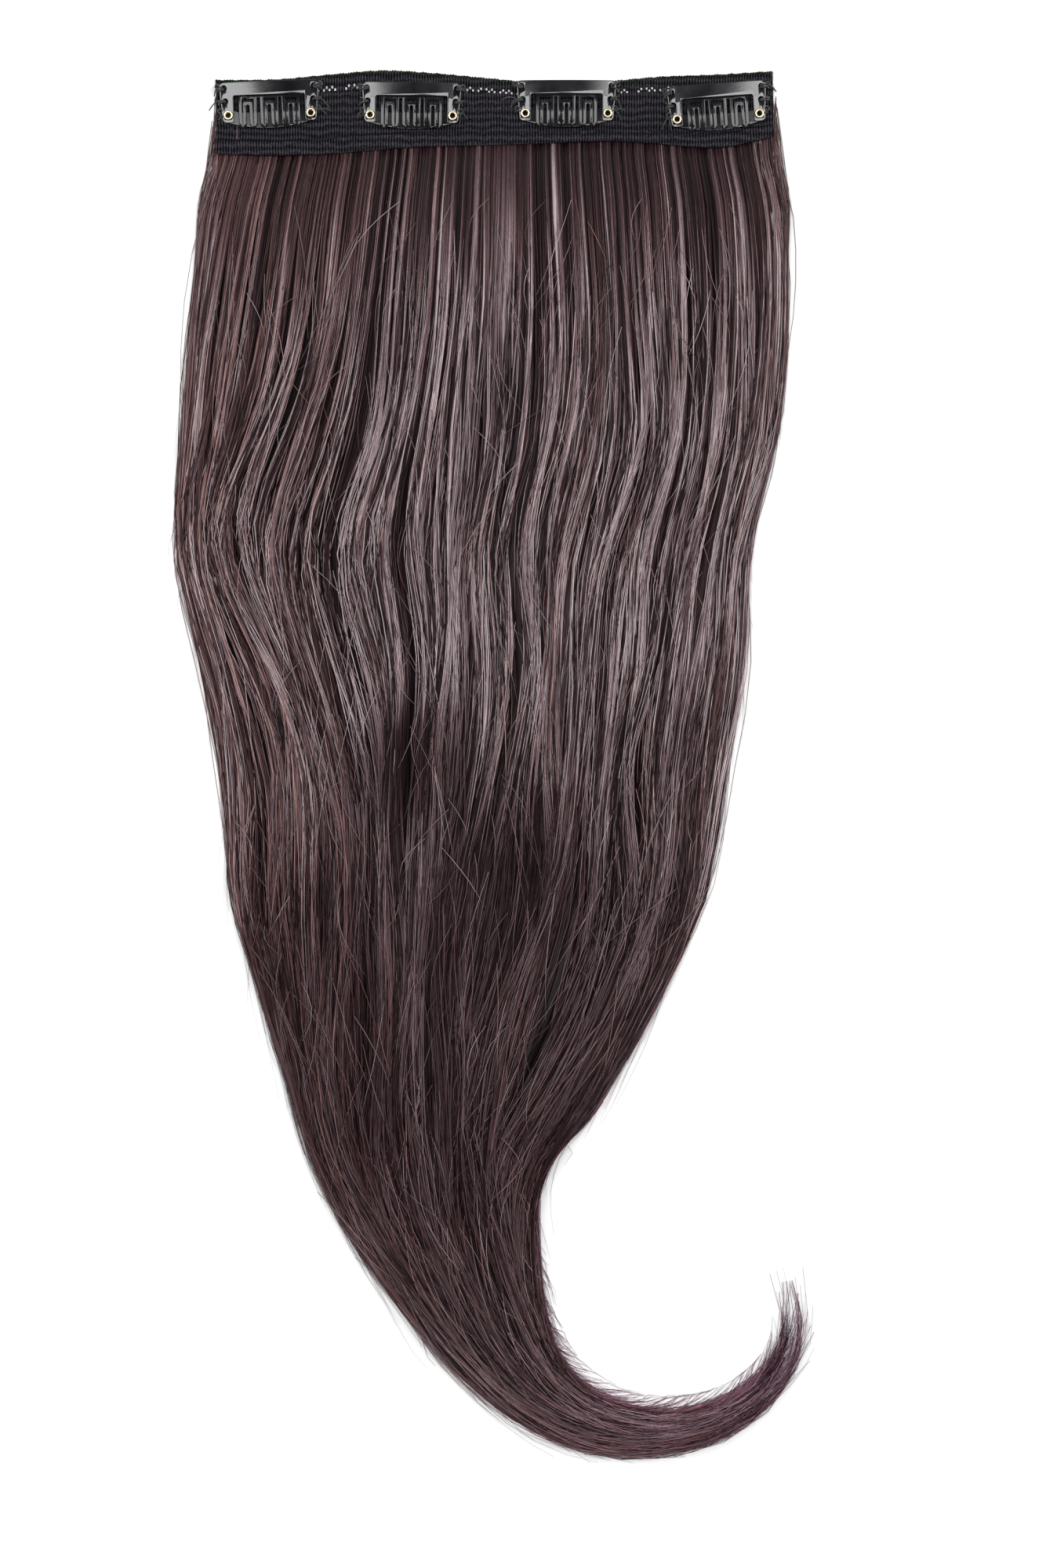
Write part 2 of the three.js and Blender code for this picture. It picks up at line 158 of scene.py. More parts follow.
# Where the band's middle and its nominal lower edge lie in the frame, in millimetres
band_low, band_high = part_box("band")
lowest_edge = min(bottom for _, _, bottom in BAND_EDGES) * BAND_HEIGHT
MIDDLE_X = (band_low.x + band_high.x) / 2 / MM
EDGE_Y = band_low.y / MM - lowest_edge

edge_curve = smooth_curve(BAND_EDGES, 12)


def band_y(along, down):
    """Y of a place on the band: along from -0.5 to 0.5, down from 0 at its top edge to 1."""
    top = BAND_HEIGHT * (1 + np.interp(along, edge_curve[:, 0], edge_curve[:, 1]))
    bottom = BAND_HEIGHT * np.interp(along, edge_curve[:, 0], edge_curve[:, 2])
    return EDGE_Y + top + (bottom - top) * down


# Meshes

def mesh_piece(name, points, face_sets, uvs=None, smooth=True):
    """An object from points in millimetres and arrays of faces, each with one count of corners."""
    mesh = bpy.data.meshes.new(name)
    points = np.asarray(points, np.float32) * MM
    corners = np.concatenate([faces.ravel() for faces in face_sets]).astype(np.int32)
    counts = np.concatenate([np.full(len(faces), faces.shape[1]) for faces in face_sets])
    starts = np.concatenate([[0], np.cumsum(counts)[:-1]]).astype(np.int32)
    mesh.vertices.add(len(points))
    mesh.vertices.foreach_set("co", points.ravel())
    mesh.loops.add(len(corners))
    mesh.loops.foreach_set("vertex_index", corners)
    mesh.polygons.add(len(starts))
    mesh.polygons.foreach_set("loop_start", starts)
    mesh.polygons.foreach_set("use_smooth", np.full(len(starts), smooth))
    if uvs is not None:
        layer = mesh.uv_layers.new(name=UV_MAP)
        layer.uv.foreach_set("vector", np.asarray(uvs, np.float32).ravel())
    mesh.update(calc_edges=True)
    mesh.validate()
    piece = bpy.data.objects.new(name, mesh)
    bpy.context.scene.collection.objects.link(piece)
    return piece


def finish_piece(piece, material, body=BODY, stands_for=()):
    """Gives a piece its material, the body that it rides on and the nodes it replaces."""
    piece.data.materials.clear()
    piece.data.materials.append(material)
    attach(piece, body)
    if stands_for:
        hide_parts(*stands_for)
    return piece


def tube_rings(centres, radii, sides, turn=0.0):
    """Rings of points round rows of centres, with their closing faces: rows, steps, sides, 3."""
    along = np.gradient(centres, axis=1)
    along /= np.maximum(np.linalg.norm(along, axis=2, keepdims=True), 1e-9)
    sideways = np.cross(along, np.array([0.0, 0.0, 1.0]))
    sideways /= np.maximum(np.linalg.norm(sideways, axis=2, keepdims=True), 1e-6)
    upward = np.cross(sideways, along)
    angles = 2 * np.pi * np.arange(sides) / sides + np.asarray(turn).reshape(-1, 1)
    angles = np.broadcast_to(angles, (len(centres), sides))
    spread = np.cos(angles)[:, None, :, None] * sideways[:, :, None, :]
    spread = spread + np.sin(angles)[:, None, :, None] * upward[:, :, None, :]
    return centres[:, :, None, :] + radii[:, :, None, None] * spread


def tube_faces(rows, steps, sides):
    """Side faces and end caps for tubes whose points come from tube_rings."""
    index = np.arange(rows * steps * sides).reshape(rows, steps, sides)
    ahead = np.roll(index, -1, axis=2)
    quads = np.stack([index[:, :-1], ahead[:, :-1], ahead[:, 1:], index[:, 1:]], axis=-1)
    caps = np.concatenate([index[:, 0, ::-1], index[:, -1]], axis=0)
    return quads.reshape(-1, 4)[:, ::-1], caps[:, ::-1]


def tubes_piece(name, paths, radius, sides):
    """One piece from several tubes, each along its own list of points in millimetres."""
    points, quads, caps, count = [], [], [], 0
    for path in paths:
        centres = np.asarray(path, float)[None]
        radii = np.full(centres.shape[:2], radius) * (1 + 0.08 * rng.normal(size=centres.shape[:2]))
        rings = tube_rings(centres, radii, sides)
        side_faces, cap_faces = tube_faces(1, centres.shape[1], sides)
        points.append(rings.reshape(-1, 3))
        quads.append(side_faces + count)
        caps.append(cap_faces + count)
        count += len(points[-1])
    return mesh_piece(name, np.vstack(points), [np.vstack(quads), np.vstack(caps)])


# Materials

def material(name, **inputs):
    """A new node material and its shader, with plain values for the shader's named inputs."""
    made = bpy.data.materials.new(name)
    made.use_nodes = True
    shader = made.node_tree.nodes["Principled BSDF"]
    for key, value in inputs.items():
        socket = shader.inputs[key.replace("_", " ")]
        socket.default_value = (*value, 1) if isinstance(value, tuple) else value
    return made, shader


def node(made, kind, **settings):
    """A node of a material; settings are its own properties, or values of its inputs."""
    added = made.node_tree.nodes.new(kind)
    for key, value in settings.items():
        if hasattr(added, key):
            setattr(added, key, value)
        else:
            added.inputs[key.replace("_", " ")].default_value = value
    return added


def link(made, source, output, target, socket):
    made.node_tree.links.new(source.outputs[output], target.inputs[socket])


def ramp(made, source, output, stops):
    """A colour ramp node over a source's output, from (place, colour) stops."""
    added = node(made, "ShaderNodeValToRGB")
    elements = added.color_ramp.elements
    while len(elements) < len(stops):
        elements.new(0.5)
    for element, (place, colour) in zip(elements, stops):
        element.position = place
        element.color = (*colour, 1)
    link(made, source, output, added, "Fac")
    return added


def pattern(made, place, kind, **settings):
    """A texture node in the object's own space, for which place is the coordinate node."""
    added = node(made, kind, **settings)
    link(made, place, "Object", added, "Vector")
    return added


def multiply(made, first, first_output, second, second_output):
    """A node that multiplies two colours."""
    mix = node(made, "ShaderNodeMix", data_type="RGBA", blend_type="MULTIPLY", Factor=1)
    link(made, first, first_output, mix, "A")
    link(made, second, second_output, mix, "B")
    return mix


def tone_by(made, shader, source, output, stops):
    """Base colour that varies with a pattern, through a colour ramp."""
    link(made, ramp(made, source, output, stops), "Color", shader, "Base Color")


def roughness_by(made, shader, source, low, high):
    """Roughness that varies with a pattern, from low to high."""
    rough = node(made, "ShaderNodeMapRange", To_Min=low, To_Max=high)
    link(made, source, "Fac", rough, "Value")
    link(made, rough, "Result", shader, "Roughness")


def bump_by(made, shader, source, output, strength, height):
    """Relief from a pattern, its height in millimetres."""
    bump = node(made, "ShaderNodeBump", Strength=strength, Distance=height * MM)
    link(made, source, output, bump, "Height")
    link(made, bump, "Normal", shader, "Normal")


# Tints of a strand, by its place in the palette: browns from dark to light, then auburns. The lightest of
# each are partly lighter hair and partly painted highlight, the grey-pink sheen of lit strands
TINTS = (
    (0.0, (0.005, 0.0012, 0.0018)),
    (0.19, (0.026, 0.011, 0.013)),
    (0.37, (0.092, 0.055, 0.061)),
    (0.55, (0.225, 0.162, 0.173)),
    (0.74, (0.47, 0.385, 0.4)),
    (0.77, (0.014, 0.003, 0.004)),
    (0.88, (0.145, 0.07, 0.069)),
    (1.0, (0.42, 0.27, 0.26)),
)

# What tints are multiplied by from root to tip: painted backlight, a purple tint where the thin tail
# stands against the light
BACKLIGHT_TINTS = (
    (0.0, (1.0, 1.0, 1.0)),
    (0.72, (1.0, 1.0, 1.0)),
    (0.9, (1.0, 0.82, 0.95)),
    (1.0, (0.95, 0.6, 0.95)),
)

# Cells of the noise that paints highlights and shade in segments, across the palette and along the hair
STREAK_CELLS = (240, 30, 1)
ROUGHNESS_SPREAD = 0.08


def strand_material(name, specular, gain, roughness):
    """Hair: the first UV coordinate picks a tint, and the second runs from root to tip. A gain below 1
    makes a copy painted darker for the shade of the lower hair.
    """
    made, shader = material(name, Specular_IOR_Level=specular)
    uv = node(made, "ShaderNodeUVMap", uv_map=UV_MAP)
    split = node(made, "ShaderNodeSeparateXYZ")
    link(made, uv, "UV", split, "Vector")
    tint = ramp(made, split, "X", TINTS)
    # Painted backlight: purple towards the tip
    tail = ramp(made, split, "Y", BACKLIGHT_TINTS)
    stretch = node(made, "ShaderNodeMapping", Scale=STREAK_CELLS)
    link(made, uv, "UV", stretch, "Vector")
    noise = node(made, "ShaderNodeTexNoise", Scale=1.0, Detail=3.0)
    link(made, stretch, "Vector", noise, "Vector")
    # Painted highlight and shade along each strand, scaled by gain
    shade = ramp(made, noise, "Fac", [(0.25, (0.5 * gain,) * 3), (0.75, (1.5 * gain,) * 3)])
    tinted = multiply(made, tint, "Color", tail, "Color")
    mixed = multiply(made, tinted, "Result", shade, "Color")
    link(made, mixed, "Result", shader, "Base Color")
    roughness_by(made, shader, noise, roughness - ROUGHNESS_SPREAD, roughness + ROUGHNESS_SPREAD)
    return made


# A wave texture of scale 1 has a band every 0.314 units
WAVE_PERIOD = 0.314

# Pitch of the ribbon's ribs, of those of the rolled edge, and of the rows of stitches
RIB_PITCH = 0.9
EDGE_RIB_PITCH = 0.6
STITCH_ROWS = 2.4


def cloth_material(name, dark, light, pitch):
    """Black ribbed ribbon: upright ribs every pitch millimetres, crossed by rows of stitches."""
    made, shader = material(name, Roughness=0.9, Specular_IOR_Level=0.03)
    place = node(made, "ShaderNodeTexCoord")
    ribs = pattern(made, place, "ShaderNodeTexWave", bands_direction="X", Distortion=2.2,
                   Scale=WAVE_PERIOD / (pitch * MM), Detail_Scale=1.2)
    rows = pattern(made, place, "ShaderNodeTexWave", bands_direction="Y", Distortion=4.0,
                   Scale=WAVE_PERIOD / (STITCH_ROWS * MM))
    speck = pattern(made, place, "ShaderNodeTexNoise", Scale=1500.0, Detail=3.0)
    woven = node(made, "ShaderNodeMath", operation="MULTIPLY_ADD")
    woven.inputs[1].default_value = 0.5
    link(made, rows, "Fac", woven, 0)
    link(made, ribs, "Fac", woven, 2)
    level = node(made, "ShaderNodeMath", operation="MULTIPLY")
    link(made, woven, "Value", level, 0)
    link(made, speck, "Fac", level, 1)
    stops = [(0.12, dark), (0.5, tuple(0.4 * c for c in light)), (0.9, light)]
    tone_by(made, shader, level, "Value", stops)
    bump_by(made, shader, level, "Value", strength=0.6, height=0.15)
    return made


def paint_material(name, specular):
    """Gloss black paint with faint smudges and small pits."""
    made, shader = material(name, Base_Color=(0.006, 0.006, 0.008), Roughness=0.1,
                            Specular_IOR_Level=specular)
    place = node(made, "ShaderNodeTexCoord")
    smudge = pattern(made, place, "ShaderNodeTexNoise", Scale=160.0, Detail=5.0)
    roughness_by(made, shader, smudge, 0.05, 0.14)
    tone_by(made, shader, smudge, "Fac", [(0.35, (0.004, 0.004, 0.005)), (0.7, (0.012, 0.012, 0.015))])
    pits = pattern(made, place, "ShaderNodeTexNoise", Scale=1400.0, Detail=2.0)
    bump_by(made, shader, pits, "Fac", strength=0.12, height=0.02)
    return made


def brass_material():
    """Pale brass, a little worn."""
    made, shader = material("pale_brass", Metallic=1.0, Roughness=0.25)
    place = node(made, "ShaderNodeTexCoord")
    wear = pattern(made, place, "ShaderNodeTexNoise", Scale=700.0, Detail=4.0)
    tone_by(made, shader, wear, "Fac", [(0.35, (0.66, 0.52, 0.3)), (0.6, (0.9, 0.8, 0.56))])
    roughness_by(made, shader, wear, 0.16, 0.36)
    return made


def thread_material():
    """Black polyester thread with a twisted lay."""
    made, shader = material("black_thread", Roughness=0.55, Sheen_Weight=0.2)
    place = node(made, "ShaderNodeTexCoord")
    twist = pattern(made, place, "ShaderNodeTexNoise", Scale=2600.0, Detail=2.0)
    tone_by(made, shader, twist, "Fac", [(0.35, (0.004, 0.004, 0.005)), (0.7, (0.03, 0.028, 0.032))])
    bump_by(made, shader, twist, "Fac", strength=0.5, height=0.05)
    return made


# The under strands and the inner body are copies of the top hair's material with less gain: painted shade,
# the shade they lie in below the top strands
hair_finish = strand_material("top_hair", specular=0.12, gain=1.06, roughness=0.42)
under_shaded_finish = strand_material("under_hair_shaded", specular=0.05, gain=0.7, roughness=0.55)
core_shaded_finish = strand_material("inner_hair_shaded", specular=0.05, gain=0.1, roughness=0.6)
cloth_finish = cloth_material("ribbed_ribbon", (0.0015, 0.0014, 0.002), (0.062, 0.058, 0.07), RIB_PITCH)
edge_finish = cloth_material("rolled_edge", (0.003, 0.006, 0.003), (0.045, 0.07, 0.04), EDGE_RIB_PITCH)
paint_finish = paint_material("gloss_paint", specular=0.6)
comb_finish = paint_material("comb_paint", specular=0.32)
bow_finish = paint_material("bow_paint", specular=0.35)
brass_finish = brass_material()
thread_finish = thread_material()


# Hair

STRAND_SIDES = 3
UNDER_RADIUS = 0.22
TOP_RADIUS = 0.15
FRINGE_RADIUS = 0.09
EDGE_STRAND_RADIUS = 0.108
FLY_AWAY_RADIUS = 0.06

# How far a face's corners stand apart in the palette, so that each face has an area there
TINT_REACH = 0.002

# Up to the first share of the course the hair is wide, and its sections lie straight along X
WIDE_UNTIL = 0.42
NARROW_FROM = 0.66

# Steps between two rows of the course, how many of them the outline is evened out over, and the
# shares of the course where that fades out
COURSE_STEPS = 30
EVEN_STEPS = 41
EVEN_FADE = (0.6, 0.72)

# Shares of the course where strands come free of each other, drift, gather to their locks, draw
# in at the tail and splay at its tips: where that begins, and where it is complete
FREE = (0.01, 0.25)
DRIFT = (0.1, 0.9)
GATHER = (0.3, 0.8)
TAIL = (0.84, 0.98)
TIPS = (0.9, 0.97)
WAIST = (0.4, 0.6)

# How much they gather, keep to their root's place, drift by themselves and draw in at the tail
GATHERED = 0.22
HELD = 0.6
OWN_DRIFT = 0.03
TAIL_NARROWING = 0.5

# Wander in millimetres of locks and wisps, and of the tips of strands
LOCK_WANDER = 2.1
WISP_WANDER = 0.7
TIP_SPLAY = 2.2
TAIL_SPLAY = 2.6

# Half the hair's width, in millimetres, below which strands wander less
NARROW_HALF = 40

# Place on the band where strands start: across from its middle, and down
ROOT_SPAN = 0.495
ROOT_DOWN = 0.9

# Beyond a place across the hair, given along its course, strands are pressed together
SQUEEZE_FROM = ((0.0, 0.99), (0.02, 1.0), (0.35, 0.99), (0.5, 0.95), (0.62, 0.91), (0.8, 0.82))
SQUEEZE = 0.3

# The bulge below the band: its width in millimetres on the left and right, and its place
LEFT_SWEEP = 18
RIGHT_SWEEP = 7
SWEEP_MIDDLE = 0.22
SWEEP_REACH = 0.11

# Slow waves that neighbouring hair shares: height in millimetres, turns along the course, turns
# across the hair, and start in radians
FLOW_WAVES = (
    (4.4, 1.4, 0.35, 0.6),
    (2.7, 3.1, -0.9, 2.0),
    (1.1, 5.3, 2.3, 1.0),
)

# Share of the hair's course where strands end, and the share of the strands gone by there
STRAND_ENDS = (
    (0.42, 0.0), (0.55, 0.08), (0.65, 0.24), (0.75, 0.5), (0.85, 0.76),
    (0.9, 0.87), (0.93, 0.925), (0.96, 0.968), (0.985, 0.99), (1.01, 1.0),
)

# Gap between the steps of a strand as a share of the course, at places along the course
STEP_GAPS = ((-0.05, 0.008), (0.02, 0.012), (0.1, 0.036), (0.62, 0.036), (0.72, 0.027), (1.05, 0.025))
STEP_SHIFT = 0.45

# Locks and the narrow wisps inside them. Wisps are fewer beyond a place across the hair, and
# more where the sweep draws the hair apart
LOCKS = 150
WISPS = 1000
EDGE_PLACE = 0.92
EDGE_DENSITY = 0.8
SPREAD_SHARE = 0.13
SPREAD_MIDDLE = -0.1
SPREAD_REACH = 0.16
# Share of the wisps that are light: partly lighter hair, partly painted highlight for the sheen of lit
# strands
LIGHT_WISPS = 0.5

# Light and dark streaks at the root: how many lie side by side, and how strong they are
ROOT_GRAINS = 230
ROOT_CONTRAST = 0.5
ROOT_STREAKS = (0.0, 0.14)

# Share of the course whose painted purple backlight tint the free ends of the waist and the curl take
BACKLIGHT_TINT_SHARE = 0.97

# Where the browns and the auburns lie in the palette: start and length
BROWNS = (0.01, 0.72)
AUBURNS = (0.77, 0.22)

# Painted sheen and shade from root to tip: a painted shadow at the root under the band, a painted sheen
# over the upper half and painted shade lower down. Place along its course, then how light it is painted
# there
PAINTED_SHEEN_ALONG = (
    (0.0, 0.3),
    (0.03, 0.46),
    (0.09, 0.82),
    (0.18, 0.99),
    (0.32, 1.04),
    (0.38, 0.9),
    (0.46, 0.62),
    (0.6, 0.48),
    (0.72, 0.54),
    (0.82, 0.8),
    (1.0, 0.84),
)

# Painted shade in the hollows between locks: pixel at the middle, reach sideways and along in pixels,
# depth
PAINTED_HOLLOW_SHADE = (
    (520, 965, 44, 62, 0.86),
    (636, 1116, 50, 60, 0.4),
    (560, 1200, 30, 90, 0.3),
    (452, 1010, 30, 60, 0.22),
    (625, 1060, 70, 90, 0.2),
    (385, 330, 22, 110, 0.3),
    (345, 700, 18, 200, 0.2),
    (905, 350, 20, 120, 0.3),
    (775, 930, 30, 110, 0.2),
    (690, 1090, 25, 90, 0.22),
    (470, 1330, 26, 150, 0.2),
    (880, 1050, 22, 120, 0.2),
    (765, 1818, 34, 11, 0.6),
)


def course_curve():
    """The hair's course in millimetres: X and Y, half width and depth, with an even outline."""
    curve = smooth_curve([
        (side * HAIR_LENGTH, -drop * HAIR_LENGTH, half * BAND_WIDTH, depth * HAIR_DEPTH)
        for side, drop, half, depth in HAIR_COURSE
    ], COURSE_STEPS)
    gaps = np.linalg.norm(np.diff(curve[:, :2], axis=0), axis=1)
    share = np.concatenate([[0], np.cumsum(gaps)]) / gaps.sum()
    window = np.hanning(EVEN_STEPS) / np.hanning(EVEN_STEPS).sum()
    even_half = np.convolve(np.pad(curve[:, 2], EVEN_STEPS // 2, mode="edge"), window, mode="valid")
    curve[:, 2] += (even_half - curve[:, 2]) * (1 - smoothstep(share, *EVEN_FADE))
    return curve, share, gaps.sum()


course, course_share, course_length = course_curve()
course_heading = np.gradient(course[:, :2], course_share, axis=0)
course_heading[:, 0] *= smoothstep(course_share, WIDE_UNTIL, NARROW_FROM)
course_heading /= np.linalg.norm(course_heading, axis=1, keepdims=True)

step_share = np.linspace(-0.05, 1.05, 700)
step_count = np.cumsum(1 / np.interp(step_share, *np.array(STEP_GAPS).T))


def course_at(share):
    """Middle X and Y, unit sideways X and Y, half width and full depth at shares of the course."""
    x, y, half, depth = (np.interp(share, course_share, column) for column in course.T)
    head_x, head_y = (np.interp(share, course_share, column) for column in course_heading.T)
    beyond = np.where(share < 0, share, 0) + np.where(share > 1, share - 1, 0)
    x = x + beyond * course_length * head_x
    y = y + beyond * course_length * head_y
    flat = (BAND_HEIGHT * 0.1 + 2 * CLEARANCE) / course_length
    swell = smoothstep(share, flat, flat + ROOT_RISE / course_length)
    depth = ROOT_DEPTH + (depth - ROOT_DEPTH) * swell
    return x + MIDDLE_X, y + EDGE_Y, -head_y, head_x, half, depth


def shares_between(start, reach, steps):
    """Shares of the course from start to reach, close together where the hair bends."""
    first = np.interp(start, step_share, step_count)
    last = np.interp(reach, step_share, step_count)
    places = np.arange(steps) + rng.uniform(-STEP_SHIFT, STEP_SHIFT, (len(first), 1))
    places[:, 0] = 0
    places[:, -1] = steps - 1
    counts = first[:, None] + (last - first)[:, None] * places / (steps - 1)
    return np.interp(counts, step_count, step_share)


def dome(place):
    """Height of the hair's section at a place across it, from 1 in the middle to 0 at the edge."""
    return np.sqrt(np.clip(1 - np.abs(place) ** 2.4, 0, 1))


def waves(shares, count, cycles):
    """One smooth random wander for each row of shares, of height about 1."""
    total = np.zeros(shares.shape)
    for octave, weight in ((1, 1.0), (2.1, 0.5), (4.3, 0.22)):
        turns = cycles * octave * (0.7 + 0.6 * rng.random((count, 1)))
        total += weight * np.sin(2 * np.pi * (turns * shares + rng.random((count, 1))))
    return total / 1.3


def flow(shares, place):
    """Sideways millimetres that neighbouring hair shares: a bulge below the band, and slow waves."""
    inner = 1 - np.abs(place) ** 3
    sweep = np.exp(-(((shares - SWEEP_MIDDLE) / SWEEP_REACH) ** 2))
    total = np.where(place < 0, LEFT_SWEEP, RIGHT_SWEEP) * np.sin(np.pi * place) * sweep
    for height, along, across, start in FLOW_WAVES:
        total += height * np.sin(2 * np.pi * (along * shares + across * place) + start) * inner
    return total


def painted_sheen_and_shade(centres, shares, place):
    """Painted sheen and shade of a strand at each of its points: along the course, a little lighter to the
    right, in the painted shade of hollows, and in patches of painted light.
    """
    light = np.interp(shares, *np.array(PAINTED_SHEEN_ALONG).T)
    light = light * (1 + 0.05 * place)
    pixel_x = BAND_MIDDLE_PIXEL[0] + (centres[..., 0] - MIDDLE_X) / MM_PER_PIXEL
    pixel_y = BAND_MIDDLE_PIXEL[1] - (centres[..., 1] - EDGE_Y) / MM_PER_PIXEL
    # Painted shade in the hollows between locks
    for x, y, reach_x, reach_y, depth in PAINTED_HOLLOW_SHADE:
        away = ((pixel_x - x) / reach_x) ** 2 + ((pixel_y - y) / reach_y) ** 2
        light = light * (1 - depth * np.exp(-away))
    # Patches of painted light and shade across the hair
    patches = np.sin(0.031 * pixel_x + 0.006 * pixel_y) * np.sin(0.0127 * pixel_y - 0.008 * pixel_x)
    patches += 0.6 * np.sin(0.083 * pixel_x - 0.004 * pixel_y + 2 * np.sin(0.011 * pixel_y))
    return light * (1 + 0.1 * patches)


def palette_place(bright, red):
    """Place in the palette of a brightness from 0 to 1: browns, or auburns for the red strands."""
    bright = np.clip(bright, 0.0, 1.0)
    return np.where(red, AUBURNS[0] + AUBURNS[1] * bright, BROWNS[0] + BROWNS[1] * bright)


def hair_core(rings=130, sides=64, reach=0.88):
    """The body of hair that the single strands lie on, painted dark as the shade in the gaps between them,
    up to a share of the course.
    """
    shares = np.linspace(-0.004, reach, rings)
    angle = 2 * np.pi * np.arange(sides) / sides
    place = np.cos(angle)[None, :].repeat(rings, 0)
    x, y, side_x, side_y, half, depth = (v[:, None] for v in course_at(shares))
    edge_gap = 5.0 * smoothstep(shares, 0.0, 0.06)[:, None] + 1.0
    half = np.maximum(half - edge_gap, half * 0.5)
    above = np.sin(angle)[None, :] > 0
    rough = 0.05 * np.sin(31 * place + 9 * shares[:, None]) + 0.04 * np.sin(67 * place)
    z = 0.12 + depth * dome(place * 0.985) * np.where(above, 0.8 + rough, 0.0)
    wide = place * half
    points = np.stack([x + side_x * wide, y + side_y * wide, z + 0 * wide], axis=-1)
    index = np.arange(rings * sides).reshape(rings, sides)
    ahead = np.roll(index, -1, axis=1)
    quads = np.stack([index[:-1], ahead[:-1], ahead[1:], index[1:]], axis=-1).reshape(-1, 4)
    caps = np.stack([index[0, ::-1], index[-1]])
    onward = np.roll(place, -1, 1)
    corner_u = np.stack([place[:-1], onward[:-1], onward[1:], place[1:]], axis=-1).reshape(-1)
    rows = shares[:, None].repeat(sides, 1)
    corner_v = np.stack([rows[:-1], rows[:-1], rows[1:], rows[1:]], axis=-1).reshape(-1)
    cap_uv = np.full((2 * sides, 2), 0.1)
    uvs = np.vstack([np.stack([0.5 + 0.5 * corner_u, corner_v], axis=-1), cap_uv])
    piece = mesh_piece("hair_body", points.reshape(-1, 3), [quads, caps], uvs)
    return finish_piece(piece, core_shaded_finish, stands_for=["hair"])


class Bundles:
    """Bundles of hair at two scales: a few hundred broad locks, and narrow wisps inside them."""

    def __init__(self, locks, wisps):
        self.lock_place = np.sort(rng.uniform(-1, 1, locks))
        self.lock_drift = rng.normal(0, 0.055, locks)
        self.lock_lift = rng.normal(0, 1, locks)
        self.lock_bright = rng.normal(0, 1, locks)
        self.lock_phase = rng.random((locks, 3))
        self.lock_turns = rng.uniform(0.8, 1.5, (locks, 3)) * np.array([1.2, 2.7, 5.2])
        place = rng.uniform(-0.99, 0.99, wisps)
        thin = (np.abs(place) > EDGE_PLACE) & (rng.random(wisps) > EDGE_DENSITY)
        place = np.where(thin, rng.uniform(-EDGE_PLACE, EDGE_PLACE, wisps), place)
        spread_out = rng.random(wisps) < SPREAD_SHARE
        place = np.where(spread_out, rng.normal(SPREAD_MIDDLE, SPREAD_REACH, wisps), place)
        self.wisp_place = np.sort(place)
        self.wisp_lock = np.clip(np.searchsorted(self.lock_place, self.wisp_place), 0, locks - 1)
        # Light wisps are partly painted highlight
        light = rng.random(wisps) < LIGHT_WISPS
        self.wisp_bright = np.where(light, rng.uniform(0.65, 1.0, wisps), rng.uniform(0, 0.35, wisps))
        self.wisp_red = rng.random(wisps)
        self.root_bright = rng.normal(0, 1, ROOT_GRAINS)
        self.wisp_phase = rng.random((wisps, 2))
        self.wisp_turns = rng.uniform(1.5, 4.5, (wisps, 2)) * np.array([1.0, 2.2])

    def lock_wander(self, lock, shares, shift=0.0):
        """Sideways wander, about 1 high, that all strands of a lock share."""
        return summed_waves(shares, self.lock_turns[lock], self.lock_phase[lock] + shift, (1.0, 0.5, 0.22))

    def wisp_wander(self, wisp, shares, shift=0.0):
        """Sideways wander, about 1 high, that all strands of a wisp share."""
        shares = shares * (1 + shift) + shift
        return summed_waves(shares, self.wisp_turns[wisp], self.wisp_phase[wisp], (1.0, 0.45))


def summed_waves(shares, turns, phases, weights):
    """Sums sine waves along rows of shares: a column of turns and of phases for each weight."""
    total = np.zeros(shares.shape)
    for octave, weight in enumerate(weights):
        turn = turns[:, octave][:, None] * shares + phases[:, octave][:, None]
        total += weight * np.sin(2 * np.pi * turn)
    return total


bundles = Bundles(LOCKS, WISPS)


def strand_course(root, wisp, reach, steps, loose, follow):
    """Shares and sideways millimetres of strands that run from the band to their tips."""
    count = len(root)
    lock = bundles.wisp_lock[wisp]
    start = -(band_y(np.clip(root * ROOT_SPAN, -0.5, 0.5), ROOT_DOWN) - EDGE_Y) / course_length
    shares = shares_between(start, reach, steps)
    x, y, side_x, side_y, half, depth = course_at(shares)
    free = smoothstep(shares, *FREE)
    middle = bundles.lock_place[lock][:, None]
    gather = 1 - GATHERED * follow * smoothstep(shares, *GATHER)
    place = middle + (bundles.wisp_place[wisp][:, None] - middle) * gather
    own_drift = rng.normal(0, OWN_DRIFT, (count, 1))
    place = place + (follow * bundles.lock_drift[lock][:, None] + own_drift) * smoothstep(shares, *DRIFT)
    place = place + (root - bundles.wisp_place[wisp])[:, None] * (1 - HELD * free)
    place = np.clip(place, -1, 1) * (1 - TAIL_NARROWING * smoothstep(shares, *TAIL))
    narrow = np.clip(half / NARROW_HALF, 0.12, 1)
    sideways = LOCK_WANDER * follow * bundles.lock_wander(lock, shares) * free * narrow
    sideways += WISP_WANDER * bundles.wisp_wander(wisp, shares) * free * narrow
    sideways += loose[:, None] * waves(shares, count, 2.0) * free * np.clip(narrow, 0.3, 1)
    sideways += flow(shares, place) * free * narrow
    tip = np.linspace(0, 1, steps)[None, :] ** 5
    sideways += TIP_SPLAY * rng.normal(size=(count, 1)) * tip * narrow
    wide = place * (half - 0.3) + sideways
    limit = half * (np.interp(shares, *np.array(SQUEEZE_FROM).T) + 0.03 * rng.random((count, 1)) ** 2)
    over = np.maximum(np.abs(wide) - limit, 0)
    wide = np.sign(wide) * (np.minimum(np.abs(wide), limit) + SQUEEZE * over)
    wide += TAIL_SPLAY * rng.normal(size=(count, 1)) * tip * smoothstep(shares, *TIPS)
    return shares, wide, (x, y, side_x, side_y, half, depth), lock


